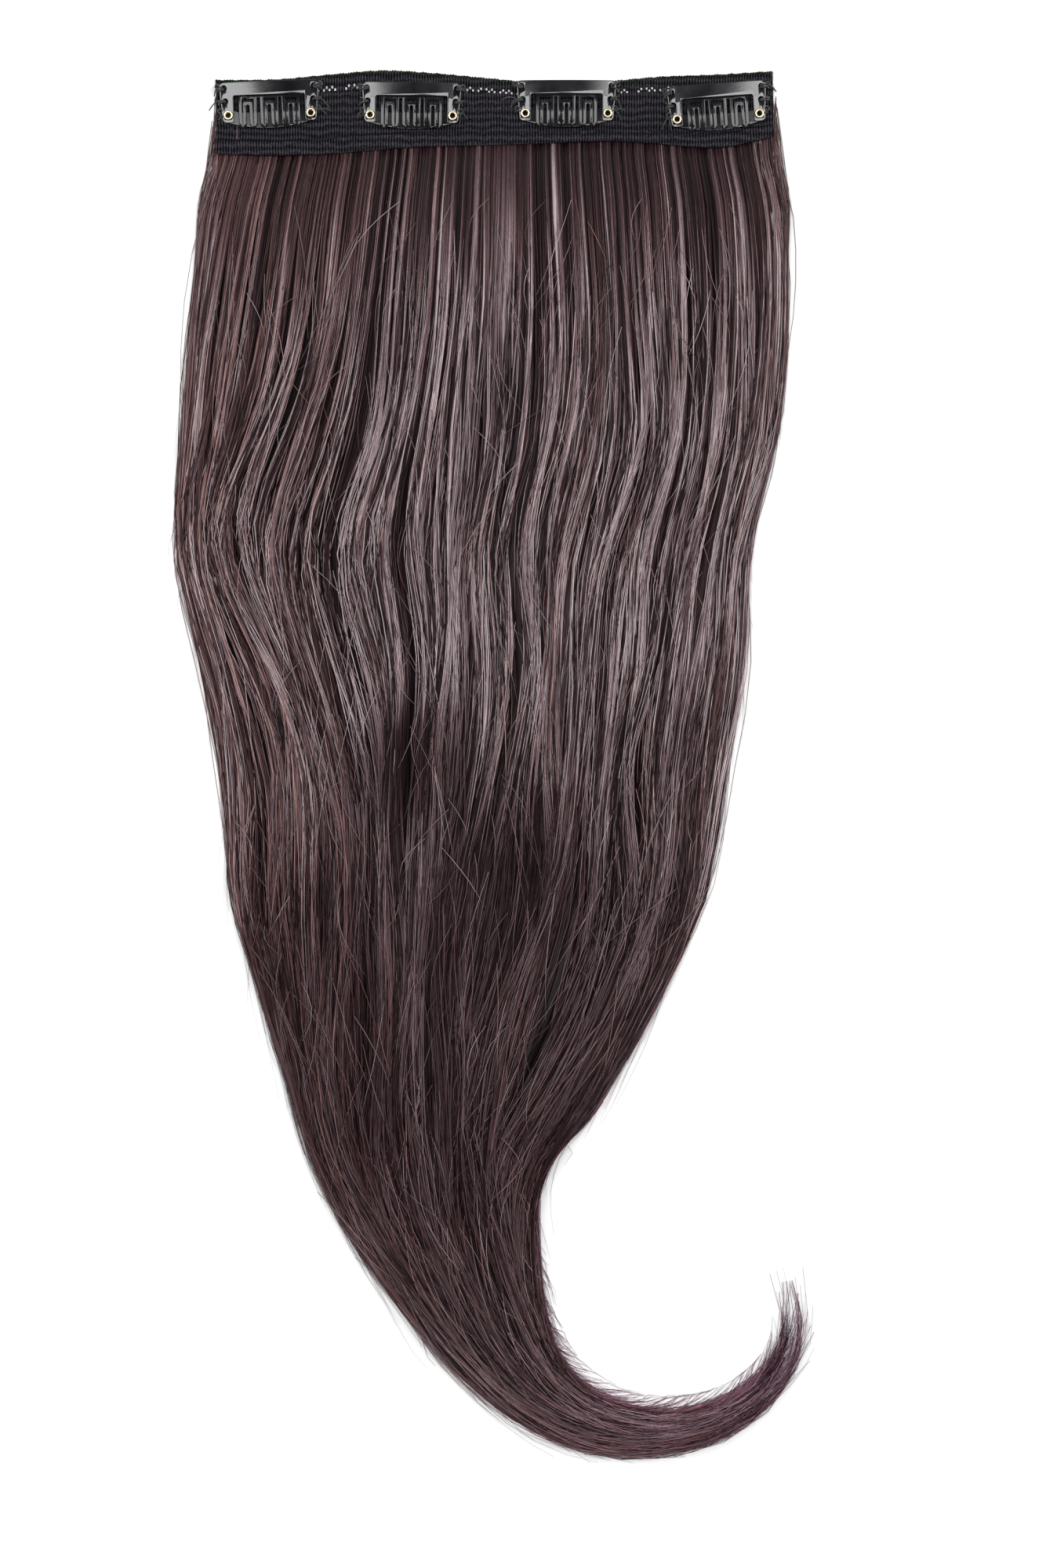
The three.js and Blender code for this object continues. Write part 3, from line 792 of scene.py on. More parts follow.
def strand_points(reach, steps, layers, radius, bright_range, loose_share, follow):
    """Centres, radii, palette places and shares of strands that run from the band to their tips.
    layers is the lowest and highest layer, as shares of the hair's depth, and follow how much
    they keep to their lock, up to 1."""
    count = len(reach)
    wisp = rng.integers(0, len(bundles.wisp_place), count)
    root = np.clip(bundles.wisp_place[wisp] + rng.normal(0, 0.0022, count), -1, 1)
    reach = reach - 0.12 * np.clip(np.abs(root) - 0.5, 0, 1) * (reach > 0.7)
    loose = np.where(rng.random(count) < loose_share, 1.8, 0.45) + 0.9 * smoothstep(np.abs(root), 0.82, 1)
    shares, wide, (x, y, side_x, side_y, half, depth), lock = strand_course(
        root, wisp, reach, steps, loose, follow)
    layer = rng.uniform(*layers, count)
    lift = 0.4 * bundles.lock_lift[lock][:, None] + 0.35 * bundles.lock_wander(lock, shares * 1.7, 0.37)
    lift = lift + 0.4 * bundles.wisp_wander(wisp, shares, 0.6)
    lift = lift * smoothstep(shares, -0.01, 0.2) * np.clip(depth / 6, 0.3, 1)
    top = depth * dome(np.clip(wide / half, -0.985, 0.985)) + lift
    z = 0.25 + np.clip(layer[:, None] * top, 0, 11) + 0.12 * (loose > 1)[:, None]
    centres = np.stack([x + side_x * wide, y + side_y * wide, z], axis=-1)
    t = np.linspace(0, 1, steps)[None, :]
    radii = radius * tapered(t, 0.75) * rng.uniform(0.75, 1.25, count)[:, None]
    low, high = bright_range
    bright = low + (high - low) * bundles.wisp_bright[wisp]
    bright = bright + 0.06 * bundles.lock_bright[lock] + rng.normal(0, 0.15, count)
    across = np.clip(wide / half, -1, 1)
    grain = np.interp(root, np.linspace(-1, 1, len(bundles.root_bright)), bundles.root_bright)
    at_root = 1 - smoothstep(shares, *ROOT_STREAKS)
    bright = bright[:, None] + ROOT_CONTRAST * grain[:, None] * at_root
    # Painted sheen and shade along the course, in the hollows and in patches
    bright = bright * painted_sheen_and_shade(centres, shares, across)
    # Painted backlight: the edges, the left edge most, and the tips are painted lighter, as thin hair
    # looks against the bright floor and light
    bright = bright + 0.12 * smoothstep(np.abs(across), 0.8, 1.0) + 0.1 * smoothstep(t, 0.8, 1.0)
    bright = bright + 0.1 * smoothstep(-across, 0.8, 1.0)
    auburn = 0.16 + 0.17 * smoothstep(np.abs(root), 0.7, 1.0) + 0.2 * smoothstep(-root, 0.2, 0.45)
    red = 0.4 * bundles.wisp_red[wisp] + 0.6 * rng.random(count) < auburn
    return centres, radii, palette_place(bright, red[:, None]), np.clip(shares, 0.001, 0.999)


def tapered(t, full_until):
    """Share of its radius that a strand has at places from 0 to 1 along it."""
    return 1 - 0.65 * smoothstep(t, full_until, 1)


def strands_piece(name, finish, centres, radii, tint, shares):
    """One piece of closed, tapering strands; its UV map holds palette place and share."""
    count, steps = shares.shape
    rings = tube_rings(centres, radii, STRAND_SIDES, rng.random(count) * 2)
    quads, caps = tube_faces(count, steps, STRAND_SIDES)
    offsets = np.array([-1.0, 1.0, 1.0, -1.0])[::-1] * TINT_REACH
    near, far = slice(None, -1), slice(1, None)
    u, v = (np.stack([rows[:, far], rows[:, far], rows[:, near], rows[:, near]], axis=-1)
            for rows in (tint, shares))
    side_uv = np.stack([u + offsets, v], axis=-1)[:, :, None]
    side_uv = np.broadcast_to(side_uv, (count, steps - 1, STRAND_SIDES, 4, 2)).reshape(-1, 2)
    corner = TINT_REACH * np.array([-1.0, 1.0, 0.0])
    cap_u = np.stack([tint[:, :1], tint[:, -1:]]) + corner
    cap_v = np.stack([shares[:, :1], shares[:, -1:]]) + 0.5 * np.roll(corner, 1)
    cap_uv = np.stack([cap_u, cap_v], axis=-1).reshape(-1, 2)
    piece = mesh_piece(name, rings.reshape(-1, 3), [quads, caps], np.vstack([side_uv, cap_uv]))
    return finish_piece(piece, finish)


def short_strands(shares, wide, lift, radius, bright, red_share, tint_share=None):
    """Centres, radii, palette places and shares of short strands beside or on the others. Their
    tints are those of their own shares of the course, or of tint_share."""
    count, steps = shares.shape
    x, y, side_x, side_y, half, depth = course_at(shares)
    centres = np.stack([x + side_x * wide, y + side_y * wide, lift + 0 * wide], axis=-1)
    t = np.linspace(0, 1, steps)[None, :]
    radii = radius * tapered(t, 0.5) * rng.uniform(0.8, 1.2, (count, 1))
    red = rng.random((count, 1)) < red_share
    tint = palette_place(bright + 0 * wide, red)
    if tint_share is not None:
        shares = np.full(shares.shape, tint_share)
    return centres, radii, tint, np.clip(shares, 0.001, 0.999)


def spans(count, steps, first, last, shortest, longest):
    """Steps along short strands, and their shares of the course, from first to last."""
    start = rng.uniform(first, last, (count, 1))
    t = np.linspace(0, 1, steps)[None, :]
    return t, np.minimum(start + rng.uniform(shortest, longest, (count, 1)) * t, 1.0)


def either_side(count, left_share=0.5):
    """-1 or 1 for each strand: the left or the right edge of the hair."""
    return np.where(rng.random((count, 1)) < left_share, -1.0, 1.0)


def edge_strands(count, steps):
    """Strands along both edges, from just inside the outline to a few millimetres off it."""
    t, shares = spans(count, steps, -0.03, 0.8, 0.1, 0.3)
    side = either_side(count)
    half = course_at(shares)[4]
    out = rng.exponential(0.9, (count, 1)) * np.sin(np.pi * np.clip(t * 1.1, 0, 1) ** 0.8)
    inside = rng.uniform(-0.8, 6.0, (count, 1)) * np.clip(half / 60, 0.2, 1)
    out = out * (1 - 0.6 * smoothstep(shares, *WAIST))
    close = 0.98 - 0.05 * smoothstep(shares, *WAIST)
    wide = side * (half * close - inside + out + 0.4 * waves(shares, count, 3.0))
    lift = 0.3 + 1.2 * rng.random((count, 1)) * np.clip(inside / 5, 0, 1) + 0.3 * np.sin(np.pi * t)
    bright = rng.uniform(0.3, 0.9, (count, 1))
    return short_strands(shares, wide, lift, EDGE_STRAND_RADIUS, bright, red_share=0.5)


def fly_aways(count, steps):
    """Hairs finer than the others that stand off both edges."""
    t, shares = spans(count, steps, 0.0, 0.72, 0.03, 0.14)
    side = either_side(count)
    half = course_at(shares)[4]
    out = rng.exponential(2.2, (count, 1)) * (t - 0.25) + 0.5 * waves(shares, count, 5.0)
    wide = side * (half * 0.97 + np.clip(out, -3, 5.5))
    lift = 0.5 + 1.2 * rng.random((count, 1)) * np.sin(np.pi * t)
    bright = rng.uniform(0.2, 0.9, (count, 1))
    return short_strands(shares, wide, lift, FLY_AWAY_RADIUS, bright, red_share=0.4)


def waist_fringe(count, steps):
    """Ends along the inner edge, where the hair draws in towards the curl, painted paler and purple as
    painted backlight.
    """
    t, shares = spans(count, steps, 0.4, 0.68, 0.03, 0.1)
    half = course_at(shares)[4]
    inside = rng.uniform(-1.2, 4.5, (count, 1))
    wide = half * 0.97 - inside * (1 - 0.5 * t) + 0.3 * waves(shares, count, 4.0)
    lift = 0.5 + 2.2 * np.clip(inside / 5, 0, 1) + 0.4 * np.sin(np.pi * t)
    bright = rng.uniform(0.55, 1.0, (count, 1))
    return short_strands(shares, wide, lift, FRINGE_RADIUS, bright, 0.2, BACKLIGHT_TINT_SHARE)


def side_strands(count, steps):
    """Strands that leave the head of the hair beside the band's ends and run down both edges."""
    t = np.linspace(0, 1, steps)[None, :]
    start = rng.uniform(-0.033, 0.0, (count, 1))
    shares = start + rng.uniform(0.12, 0.4, (count, 1)) * t
    side = either_side(count)
    half = course_at(shares)[4]
    out = rng.uniform(-4.0, 2.6, (count, 1))
    settled = np.minimum(out, 0.2) - 1.0
    out = out * smoothstep(shares, -0.035, 0.01) + (settled - out) * smoothstep(shares, 0.01, 0.08)
    clear = BAND_WIDTH / 2 + rng.uniform(-1.5, 1.0, (count, 1)) - half
    clear = clear * (1 - smoothstep(shares, -0.004, 0.025))
    wide = side * (half + clear + out + 0.4 * waves(shares, count, 4.0) * t)
    lift = 0.3 + 0.9 * rng.random((count, 1)) * smoothstep(shares, 0, 0.03) + 0.4 * np.sin(np.pi * t)
    bright = rng.uniform(0.05, 0.9, (count, 1))
    return short_strands(shares, wide, lift, FRINGE_RADIUS, bright, red_share=0.35)


def curl_fringe(count, steps):
    """Free ends that stand off both sides of the curl and the tail, more on its inner side."""
    t, shares = spans(count, steps, 0.66, 0.92, 0.025, 0.08)
    side = -either_side(count, 0.75)
    half = course_at(shares)[4]
    out = rng.exponential(3.0, (count, 1)) * t ** 1.6 * np.where(side > 0, 1.0, 0.4)
    base = half * (0.9 - TAIL_NARROWING * smoothstep(shares, *TAIL))
    wide = side * (base * rng.uniform(0.8, 1.0, (count, 1)) + np.clip(out, 0, 6))
    lift = 0.35 + 1.5 * rng.random((count, 1)) * (1 - t)
    # Painted backlight: these free ends are painted pale and take the purple tint of the tail
    bright = rng.uniform(0.4, 1.0, (count, 1))
    return short_strands(shares, wide, lift, FRINGE_RADIUS, bright, 0.3, BACKLIGHT_TINT_SHARE)


def loose_hairs(count, steps):
    """Short hairs that lie across the others at small angles."""
    t, shares = spans(count, steps, 0.03, 0.86, 0.02, 0.08)
    half, depth = course_at(shares)[4:]
    narrow = np.clip(half / NARROW_HALF, 0.3, 1)
    lean = rng.normal(0, 6.5, (count, 1)) * narrow
    wide = rng.uniform(-0.93, 0.93, (count, 1)) * half + lean * (t - 0.5)
    wide = wide + rng.normal(0, 1.6, (count, 1)) * np.sin(np.pi * t) * narrow
    lift = 0.9 + depth * dome(np.clip(wide / half, -0.98, 0.98)) + 0.6 * np.sin(np.pi * t)
    # Painted sheen: a little darker past the upper half of the course
    bright = rng.uniform(0.5, 1.0, (count, 1)) * (1 - 0.15 * smoothstep(shares, 0.35, 0.55))
    return short_strands(shares, wide, lift, FRINGE_RADIUS, bright, red_share=0.25)


def ends_of(count):
    """Shares of the course where strands end, from the shortest strand to the longest."""
    ends, gone = np.array(STRAND_ENDS).T
    return np.interp((np.arange(count) + 0.5) / count, gone, ends)


def long_strands(name, finish, count, piece_steps, **look):
    """Pieces of strands that start at the band, from the shortest to the longest strands."""
    reaches = np.split(ends_of(count), len(piece_steps))
    for number, (reach, steps) in enumerate(zip(reaches, piece_steps), 1):
        strands_piece(f"{name}_{number}", finish, *strand_points(reach, steps, **look))


def build_hair():
    hair_core()
    # The under strands are painted darker: painted shade below the top strands
    long_strands("under_strands", under_shaded_finish, 1000, (18, 22), layers=(0.6, 0.95),
                 radius=UNDER_RADIUS, bright_range=(0.0, 0.55), loose_share=0.0, follow=0.2)
    long_strands("top_strands", hair_finish, 2400, (25, 29, 32, 35), layers=(0.95, 1.01),
                 radius=TOP_RADIUS, bright_range=(0.0, 1.05), loose_share=0.12, follow=1.0)
    strands_piece("side_strands", hair_finish, *side_strands(190, 12))
    strands_piece("edge_strands", hair_finish, *edge_strands(520, 10))
    strands_piece("fly_aways", hair_finish, *fly_aways(300, 9))
    strands_piece("waist_fringe", hair_finish, *waist_fringe(200, 9))
    strands_piece("curl_fringe", hair_finish, *curl_fringe(880, 8))
    strands_piece("loose_hairs", hair_finish, *loose_hairs(1100, 6))


# Band

RIB_COLUMNS = 3
RIB_HEIGHT = 0.3
PLEATS = ((0.29, 0.022, 0.42), (0.45, 0.02, 0.36), (0.61, 0.022, 0.4))
OPENWORK_DOWN = (0.13, 0.2)
OPENWORK_SPANS = ((-0.35, -0.205), (-0.06, 0.075), (0.19, 0.37))


def slab(top, bottom, keep):
    """Points and faces of a closed sheet between two grids of points, with cells left open."""
    rows, columns = keep.shape
    upper = np.arange((rows + 1) * (columns + 1)).reshape(rows + 1, columns + 1)
    lower = upper + upper.size
    i, j = np.nonzero(keep)
    above = np.stack([upper[i, j], upper[i + 1, j], upper[i + 1, j + 1], upper[i, j + 1]], axis=-1)
    below = np.stack([lower[i, j], lower[i, j + 1], lower[i + 1, j + 1], lower[i + 1, j]], axis=-1)
    padded = np.pad(keep, 1)
    walls = []
    for di, dj, a, b in ((0, -1, (0, 0), (1, 0)), (1, 0, (1, 0), (1, 1)),
                         (0, 1, (1, 1), (0, 1)), (-1, 0, (0, 1), (0, 0))):
        open_side = ~padded[i + 1 + di, j + 1 + dj]
        start = (i[open_side] + a[0], j[open_side] + a[1])
        end = (i[open_side] + b[0], j[open_side] + b[1])
        walls.append(np.stack([upper[end], upper[start], lower[start], lower[end]], axis=-1))
    points = np.concatenate([top.reshape(-1, 3), bottom.reshape(-1, 3)])
    faces = np.vstack([above, below, *walls])
    used = np.unique(faces)
    new_index = np.zeros(len(points), int)
    new_index[used] = np.arange(len(used))
    return points[used], new_index[faces]


def rib_relief(columns):
    """Height of the ribs at each column, as a share of the rib height."""
    return np.where(np.arange(columns + 1) % RIB_COLUMNS == 0, 0.0, 1.0)[None, :]


def band_grid(downs, pitch):
    """Along, down and X, Y of a grid of places on the band, a few columns to a rib."""
    columns = int(round(BAND_WIDTH / pitch)) * RIB_COLUMNS
    along = np.linspace(-0.5, 0.5, columns + 1)[None, :].repeat(len(downs), 0)
    down = np.array(downs)[:, None].repeat(columns + 1, 1)
    x = MIDDLE_X + along * BAND_WIDTH
    return along, down, x, band_y(along, down), columns


def ruffle(along, cycles, seed):
    """A slow random rise along the band, about 1 high."""
    local = np.random.default_rng(seed)
    total = np.zeros(along.shape)
    for octave in (1, 1.9, 3.7):
        total += np.sin(2 * np.pi * (cycles * octave * along + local.random())) / octave
    return total / 1.6


def upper_cloth():
    """The ribbed cloth from the rolled edge down to the seam ribbon."""
    downs = np.concatenate([np.linspace(0.0, 0.13, 5), [0.165, 0.2], np.linspace(0.225, 0.8, 23)])
    along, down, x, y, columns = band_grid(downs, RIB_PITCH)
    top = CLOTH_THICKNESS + RIB_HEIGHT * (rib_relief(columns) - 1) + 0.12 * ruffle(along, 5, 3)
    for centre, width, height in PLEATS:
        shifted = centre + 0.012 * ruffle(along, 3, int(centre * 100))
        amount = height * (0.7 + 0.4 * ruffle(along, 4, int(centre * 100) + 1))
        top += amount * np.exp(-(((down - shifted) / width) ** 2))
        top -= 0.25 * np.exp(-(((down - shifted - 0.03) / 0.012) ** 2))
    open_row = np.exp(-(((down - 0.165) / 0.05) ** 2))
    top = top * (1 - 0.6 * open_row)
    x = x + 0.25 * RIB_PITCH * ruffle(along, 9, 5) * np.sin(np.pi * down)
    bottom = np.full(top.shape, 0.08)
    keep = np.ones((len(downs) - 1, columns), bool)
    middles = (along[0, :-1] + along[0, 1:]) / 2
    for row, (low, high) in enumerate(zip(downs, downs[1:])):
        if not OPENWORK_DOWN[0] - 0.001 <= low <= OPENWORK_DOWN[1] - 0.001:
            continue
        for first, last in OPENWORK_SPANS:
            inside = (middles > first) & (middles < last)
            every = (np.arange(columns) + (3 if row % 2 else 0)) % (2 * RIB_COLUMNS) < 2
            worn = np.repeat(rng.random(columns // 3 + 1), 3)[:columns] < 0.6
            keep[row, inside & every & worn] = False
    return slab(np.stack([x, y, top], -1), np.stack([x, y, bottom], -1), keep)


def seam_ribbon():
    """The smoother ribbon folded over the root of the hair."""
    downs = np.concatenate([np.linspace(STRIP_FOLD - 0.02, STRIP_FOLD + 0.03, 6),
                            np.linspace(STRIP_FOLD + 0.05, 1.0, 9)])
    along, down, x, y, columns = band_grid(downs, 0.8)
    rise = smoothstep(down, STRIP_FOLD - 0.03, STRIP_FOLD + 0.015)
    raised = ROOT_DEPTH + CLEARANCE
    fold = 0.1 * np.exp(-(((down - STRIP_FOLD - 0.02) / 0.014) ** 2))
    top = CLOTH_THICKNESS + 0.25 + (raised - 0.3) * rise + fold
    top = top - 0.28 * smoothstep(down, 0.95, 1.0) + 0.1 * ruffle(along, 6, 8)
    top += 0.8 * RIB_HEIGHT * rib_relief(columns)
    frayed = smoothstep(np.abs(along), 0.492, 0.5) * smoothstep(down, 0.9, 1.0)
    y = y + 0.5 * frayed * rng.normal(size=y.shape)
    bottom = np.where(down < STRIP_FOLD, CLOTH_THICKNESS - 0.1, raised + 0.1)
    bottom = np.minimum(bottom, top - 0.3)
    keep = np.ones((len(downs) - 1, columns), bool)
    return slab(np.stack([x, y, top], -1), np.stack([x, y, bottom], -1), keep)


def build_band():
    """The band's cloth as one sheet, and the rolled picot edge along its top."""
    shells = [upper_cloth(), seam_ribbon()]
    count = len(shells[0][0])
    points = np.vstack([shells[0][0], shells[1][0]])
    faces = np.vstack([shells[0][1], shells[1][1] + count])
    cloth = mesh_piece("band_cloth", points, [faces])
    finish_piece(cloth, cloth_finish, stands_for=["band"])
    steps = 1000
    along = np.linspace(-0.5, 0.5, steps)
    wobble = 0.12 * ruffle(along, 40, 12)
    centre = np.stack([MIDDLE_X + along * BAND_WIDTH, band_y(along, 0.008) + wobble,
                       CLOTH_THICKNESS - 0.35 + 0 * along], -1)[None]
    picot = 0.46 + 0.13 * np.sin(2 * np.pi * along * BAND_WIDTH / RIB_PITCH)
    radii = (picot + 0.04 * rng.normal(size=steps))[None]
    rings = tube_rings(centre, radii, 7)
    edge = mesh_piece("band_edge", rings.reshape(-1, 3), list(tube_faces(1, steps, 7)))
    finish_piece(edge, edge_finish)


# Clips

EYELET_X = EYELET_SPACING / 2
EYELET_HOLE = 1.3
OPENING_HALF = EYELET_X - LEG_WIDTH / 2
FOOT_HALF = EYELET_X + LEG_WIDTH / 2
OPENING_TOP = FRAME_RISE - TOP_BAR_HEIGHT
COMB_HALF = OPENING_HALF - SIDE_SLOT
COMB_TOP = OPENING_TOP - CLEARANCE
SLOT_WIDTH = (2 * COMB_HALF - 2 * TOOTH_COUNT * STRIP_WIDTH) / (2 * TOOTH_COUNT - 1)
STRAND_PITCH = STRIP_WIDTH + SLOT_WIDTH
SLOT_TOP = COMB_TOP - COMB_ROOT_HEIGHT
ARCH_TOP = SLOT_TOP - ARCH_DROP
TIP_RADIUS = STRAND_PITCH / 2 + STRIP_WIDTH / 2
SLOT_RADIUS = SLOT_WIDTH / 2
BOW_BASE = 0.65
PLATE_BASE = 1.45
UPPER_FLANGE_BASE = 2.25
FLANGE_THICKNESS = 0.35
PLATE_BEVEL = 0.13
COMB_BEVEL = 0.22
PLATE_CROWN = 0.0034
CROWN_LIFT = 0.3

# The sewing threads: radius and sides, and the steps between two points of a path
THREAD_RADIUS = 0.2
THREAD_SIDES = 6
THREAD_STEPS = 5


def rounded(corners, steps=7):
    """Points of a flat outline with rounded corners, each given as X, Y and round."""
    places = [np.array(corner[:2], float) for corner in corners]
    points = []
    for i, (_, _, reach) in enumerate(corners):
        here = places[i]
        if not reach:
            points.append(here)
            continue
        back = places[i - 1] - here
        on = places[(i + 1) % len(places)] - here
        entry = here + back / np.linalg.norm(back) * reach
        leave = here + on / np.linalg.norm(on) * reach
        for t in np.linspace(0, 1, steps):
            points.append((1 - t) ** 2 * entry + 2 * t * (1 - t) * here + t**2 * leave)
    return points


def mirrored(right_side):
    """Corners of a whole outline from those of its right side."""
    return [*right_side, *[(-x, y, reach) for x, y, reach in reversed(right_side)]]


def arc(x, y, radius, start, end, steps=9):
    """Points on an arc, with its angles in half turns."""
    return [np.array((x + radius * math.cos(math.pi * a), y + radius * math.sin(math.pi * a)))
            for a in np.linspace(start, end, steps)]


def hole(x, y, radius):
    return arc(x, y, radius, 0, 2, 25)[:-1]


def leg_edge(y):
    """Outer edge of a leg at a height: it leans in from the top corner to the foot."""
    share = (y + FOOT_DROP) / (FRAME_RISE + FOOT_DROP)
    return FOOT_HALF + (CLIP_LENGTH / 2 - FOOT_HALF) * share


def frame_loops():
    """Outline and holes of the stamped plate: a top bar with a leg at each end."""
    right_side = [
        (OPENING_HALF, OPENING_TOP, 0.5),
        (OPENING_HALF, -FOOT_DROP, 0.9),
        (FOOT_HALF, -FOOT_DROP, 1.5),
        (CLIP_LENGTH / 2, FRAME_RISE, 1.9),
    ]
    loops = [rounded(mirrored(right_side))]
    for side in (-1, 1):
        loops.append(hole(side * EYELET_X, 0, EYELET_HOLE))
        for y in SEWING_HOLE_RISES:
            x = leg_edge(y) - SEWING_HOLE_EDGE - SEWING_HOLE_RADIUS
            loops.append(hole(side * x, y, SEWING_HOLE_RADIUS))
    return loops


def pair_slot(first, second, tip_y):
    """The slot inside a pair of teeth: down both teeth and over the inner arch."""
    r = SLOT_RADIUS
    return [
        *rounded([(first - r, tip_y + 1, 0), (first - r, SLOT_TOP, r), (second + r, SLOT_TOP, r),
                  (second + r, tip_y + 1, 0)]),
        *arc(second, tip_y, r, 2, 1)[:-1],
        *rounded([(second - r, tip_y + 1, 0), (second - r, ARCH_TOP, r), (first + r, ARCH_TOP, r),
                  (first + r, tip_y + 1, 0)]),
        *arc(first, tip_y, r, 2, 1),
    ]


def comb_loops():
    """Outline and slots of the comb: each pair of teeth is one strip that winds round two tips
    and up to an inner arch, and hangs from a narrow root along the top."""
    tip_y = -TOOTH_DROP + TIP_RADIUS
    outline = [np.array((COMB_HALF, COMB_TOP)), np.array((-COMB_HALF, COMB_TOP))]
    slots = []
    for pair in range(TOOTH_COUNT // 2):
        left = -COMB_HALF + 4 * pair * STRAND_PITCH
        first = left + TIP_RADIUS
        second = first + 2 * STRAND_PITCH
        arch_y = ARCH_TOP - STRIP_WIDTH - SLOT_RADIUS
        if pair:
            outline.append(np.array((left, SLOT_TOP)))
        outline += arc(first, tip_y, TIP_RADIUS, 1, 2, 13)
        outline += arc(first + STRAND_PITCH, arch_y, SLOT_RADIUS, 1, 0)
        outline += arc(second, tip_y, TIP_RADIUS, 1, 2, 13)
        if pair + 1 < TOOTH_COUNT // 2:
            outline.append(np.array((second + TIP_RADIUS, SLOT_TOP)))
        slots.append(pair_slot(first, second, tip_y))
    return [outline, *slots]


def bow_loops():
    """Outline and holes of the bow, with a wider end round each eyelet."""
    end_half = LEG_WIDTH / 2
    bulge = end_half - 2 * BOW_DROP
    reach = math.hypot(FOOT_HALF, -end_half - bulge) - 1.5
    right_side = [
        (FOOT_HALF, -end_half, 1.2),
        (FOOT_HALF, end_half, 1.2),
        (OPENING_HALF, end_half, 0),
        (OPENING_HALF - end_half, BOW_RISE, 0),
    ]
    outline = rounded([(0, bulge, reach), *mirrored(right_side)], 24)
    return [outline, *[hole(side * EYELET_X, 0, EYELET_HOLE) for side in (-1, 1)]]


def plate_mesh(name, loops, thickness, bevel):
    """A flat plate with rounded edges, its underside at Z = 0, from an outline and its holes."""
    curve = bpy.data.curves.new(name, "CURVE")
    curve.dimensions = "2D"
    curve.fill_mode = "BOTH"
    curve.extrude = thickness / 2 - bevel
    curve.bevel_depth = bevel
    curve.offset = -bevel
    curve.bevel_resolution = 2
    for loop in loops:
        spline = curve.splines.new("POLY")
        spline.points.add(len(loop) - 1)
        for point, (x, y) in zip(spline.points, loop):
            point.co = (x, y, 0, 1)
        spline.use_cyclic_u = True
    carrier = bpy.data.objects.new(name, curve)
    bpy.context.scene.collection.objects.link(carrier)
    bpy.context.view_layer.update()
    mesh = bpy.data.meshes.new_from_object(carrier.evaluated_get(bpy.context.evaluated_depsgraph_get()))
    bpy.data.objects.remove(carrier)
    body = bmesh.new()
    body.from_mesh(mesh)
    bpy.data.meshes.remove(mesh)
    bmesh.ops.remove_doubles(body, verts=body.verts, dist=1e-4)
    bmesh.ops.translate(body, verts=body.verts, vec=(0, 0, thickness / 2))
    return body


def cut_rows(body, axis, places):
    """Cuts a mesh along planes across an axis, so that it can bend smoothly."""
    for place in places:
        parts = [*body.verts, *body.edges, *body.faces]
        bmesh.ops.bisect_plane(body, geom=parts, dist=1e-5, plane_co=axis * place, plane_no=axis)


def place_clip_part(name, node_name, body, placement, finish, rides=BODY):
    """A clip part in the frame, from a mesh in the clip's own millimetres."""
    mesh = bpy.data.meshes.new(name)
    bmesh.ops.recalc_face_normals(body, faces=body.faces)
    body.to_mesh(mesh)
    body.free()
    mesh.transform(placement)
    mesh.shade_smooth()
    mesh.set_sharp_from_angle(angle=math.radians(40))
    piece = bpy.data.objects.new(name, mesh)
    bpy.context.scene.collection.objects.link(piece)
    return finish_piece(piece, finish, rides, [node_name])


def bend(body, lift, crown, tooth_bend=0.0):
    """Crowns a plate along X, and bends what lies below the eyelets' line downwards."""
    for vert in body.verts:
        x, y, z = vert.co
        below = max(0.0, 1.6 - y)
        vert.co.z = z + lift - crown * x * x - tooth_bend * below * below


def eyelet_body():
    """A hollow rivet with flared, rounded flanges under the bow and over the plate."""
    bore, barrel, flange = 0.8, 1.1, 1.5
    top = UPPER_FLANGE_BASE + FLANGE_THICKNESS
    profile = [
        (bore, 0.1), (bore + 0.1, 0.0), (flange - 0.12, 0.02), (flange, 0.15),
        (flange - 0.1, FLANGE_THICKNESS), (barrel, FLANGE_THICKNESS),
        (barrel, UPPER_FLANGE_BASE - 0.1), (flange - 0.15, UPPER_FLANGE_BASE - 0.02),
        (flange, UPPER_FLANGE_BASE + 0.1), (flange - 0.07, top - 0.1), (flange - 0.25, top),
        (bore + 0.3, top - 0.02), (bore + 0.1, top - 0.16), (bore, top - 0.4),
    ]
    body = bmesh.new()
    sides = 32
    rings = []
    for radius, height in profile:
        turn = [2 * math.pi * k / sides for k in range(sides)]
        rings.append([body.verts.new((radius * math.cos(a), radius * math.sin(a), height)) for a in turn])
    for ring, following in zip(rings, [*rings[1:], rings[0]]):
        for k in range(sides):
            n = (k + 1) % sides
            body.faces.new((ring[k], ring[n], following[n], following[k]))
    return body


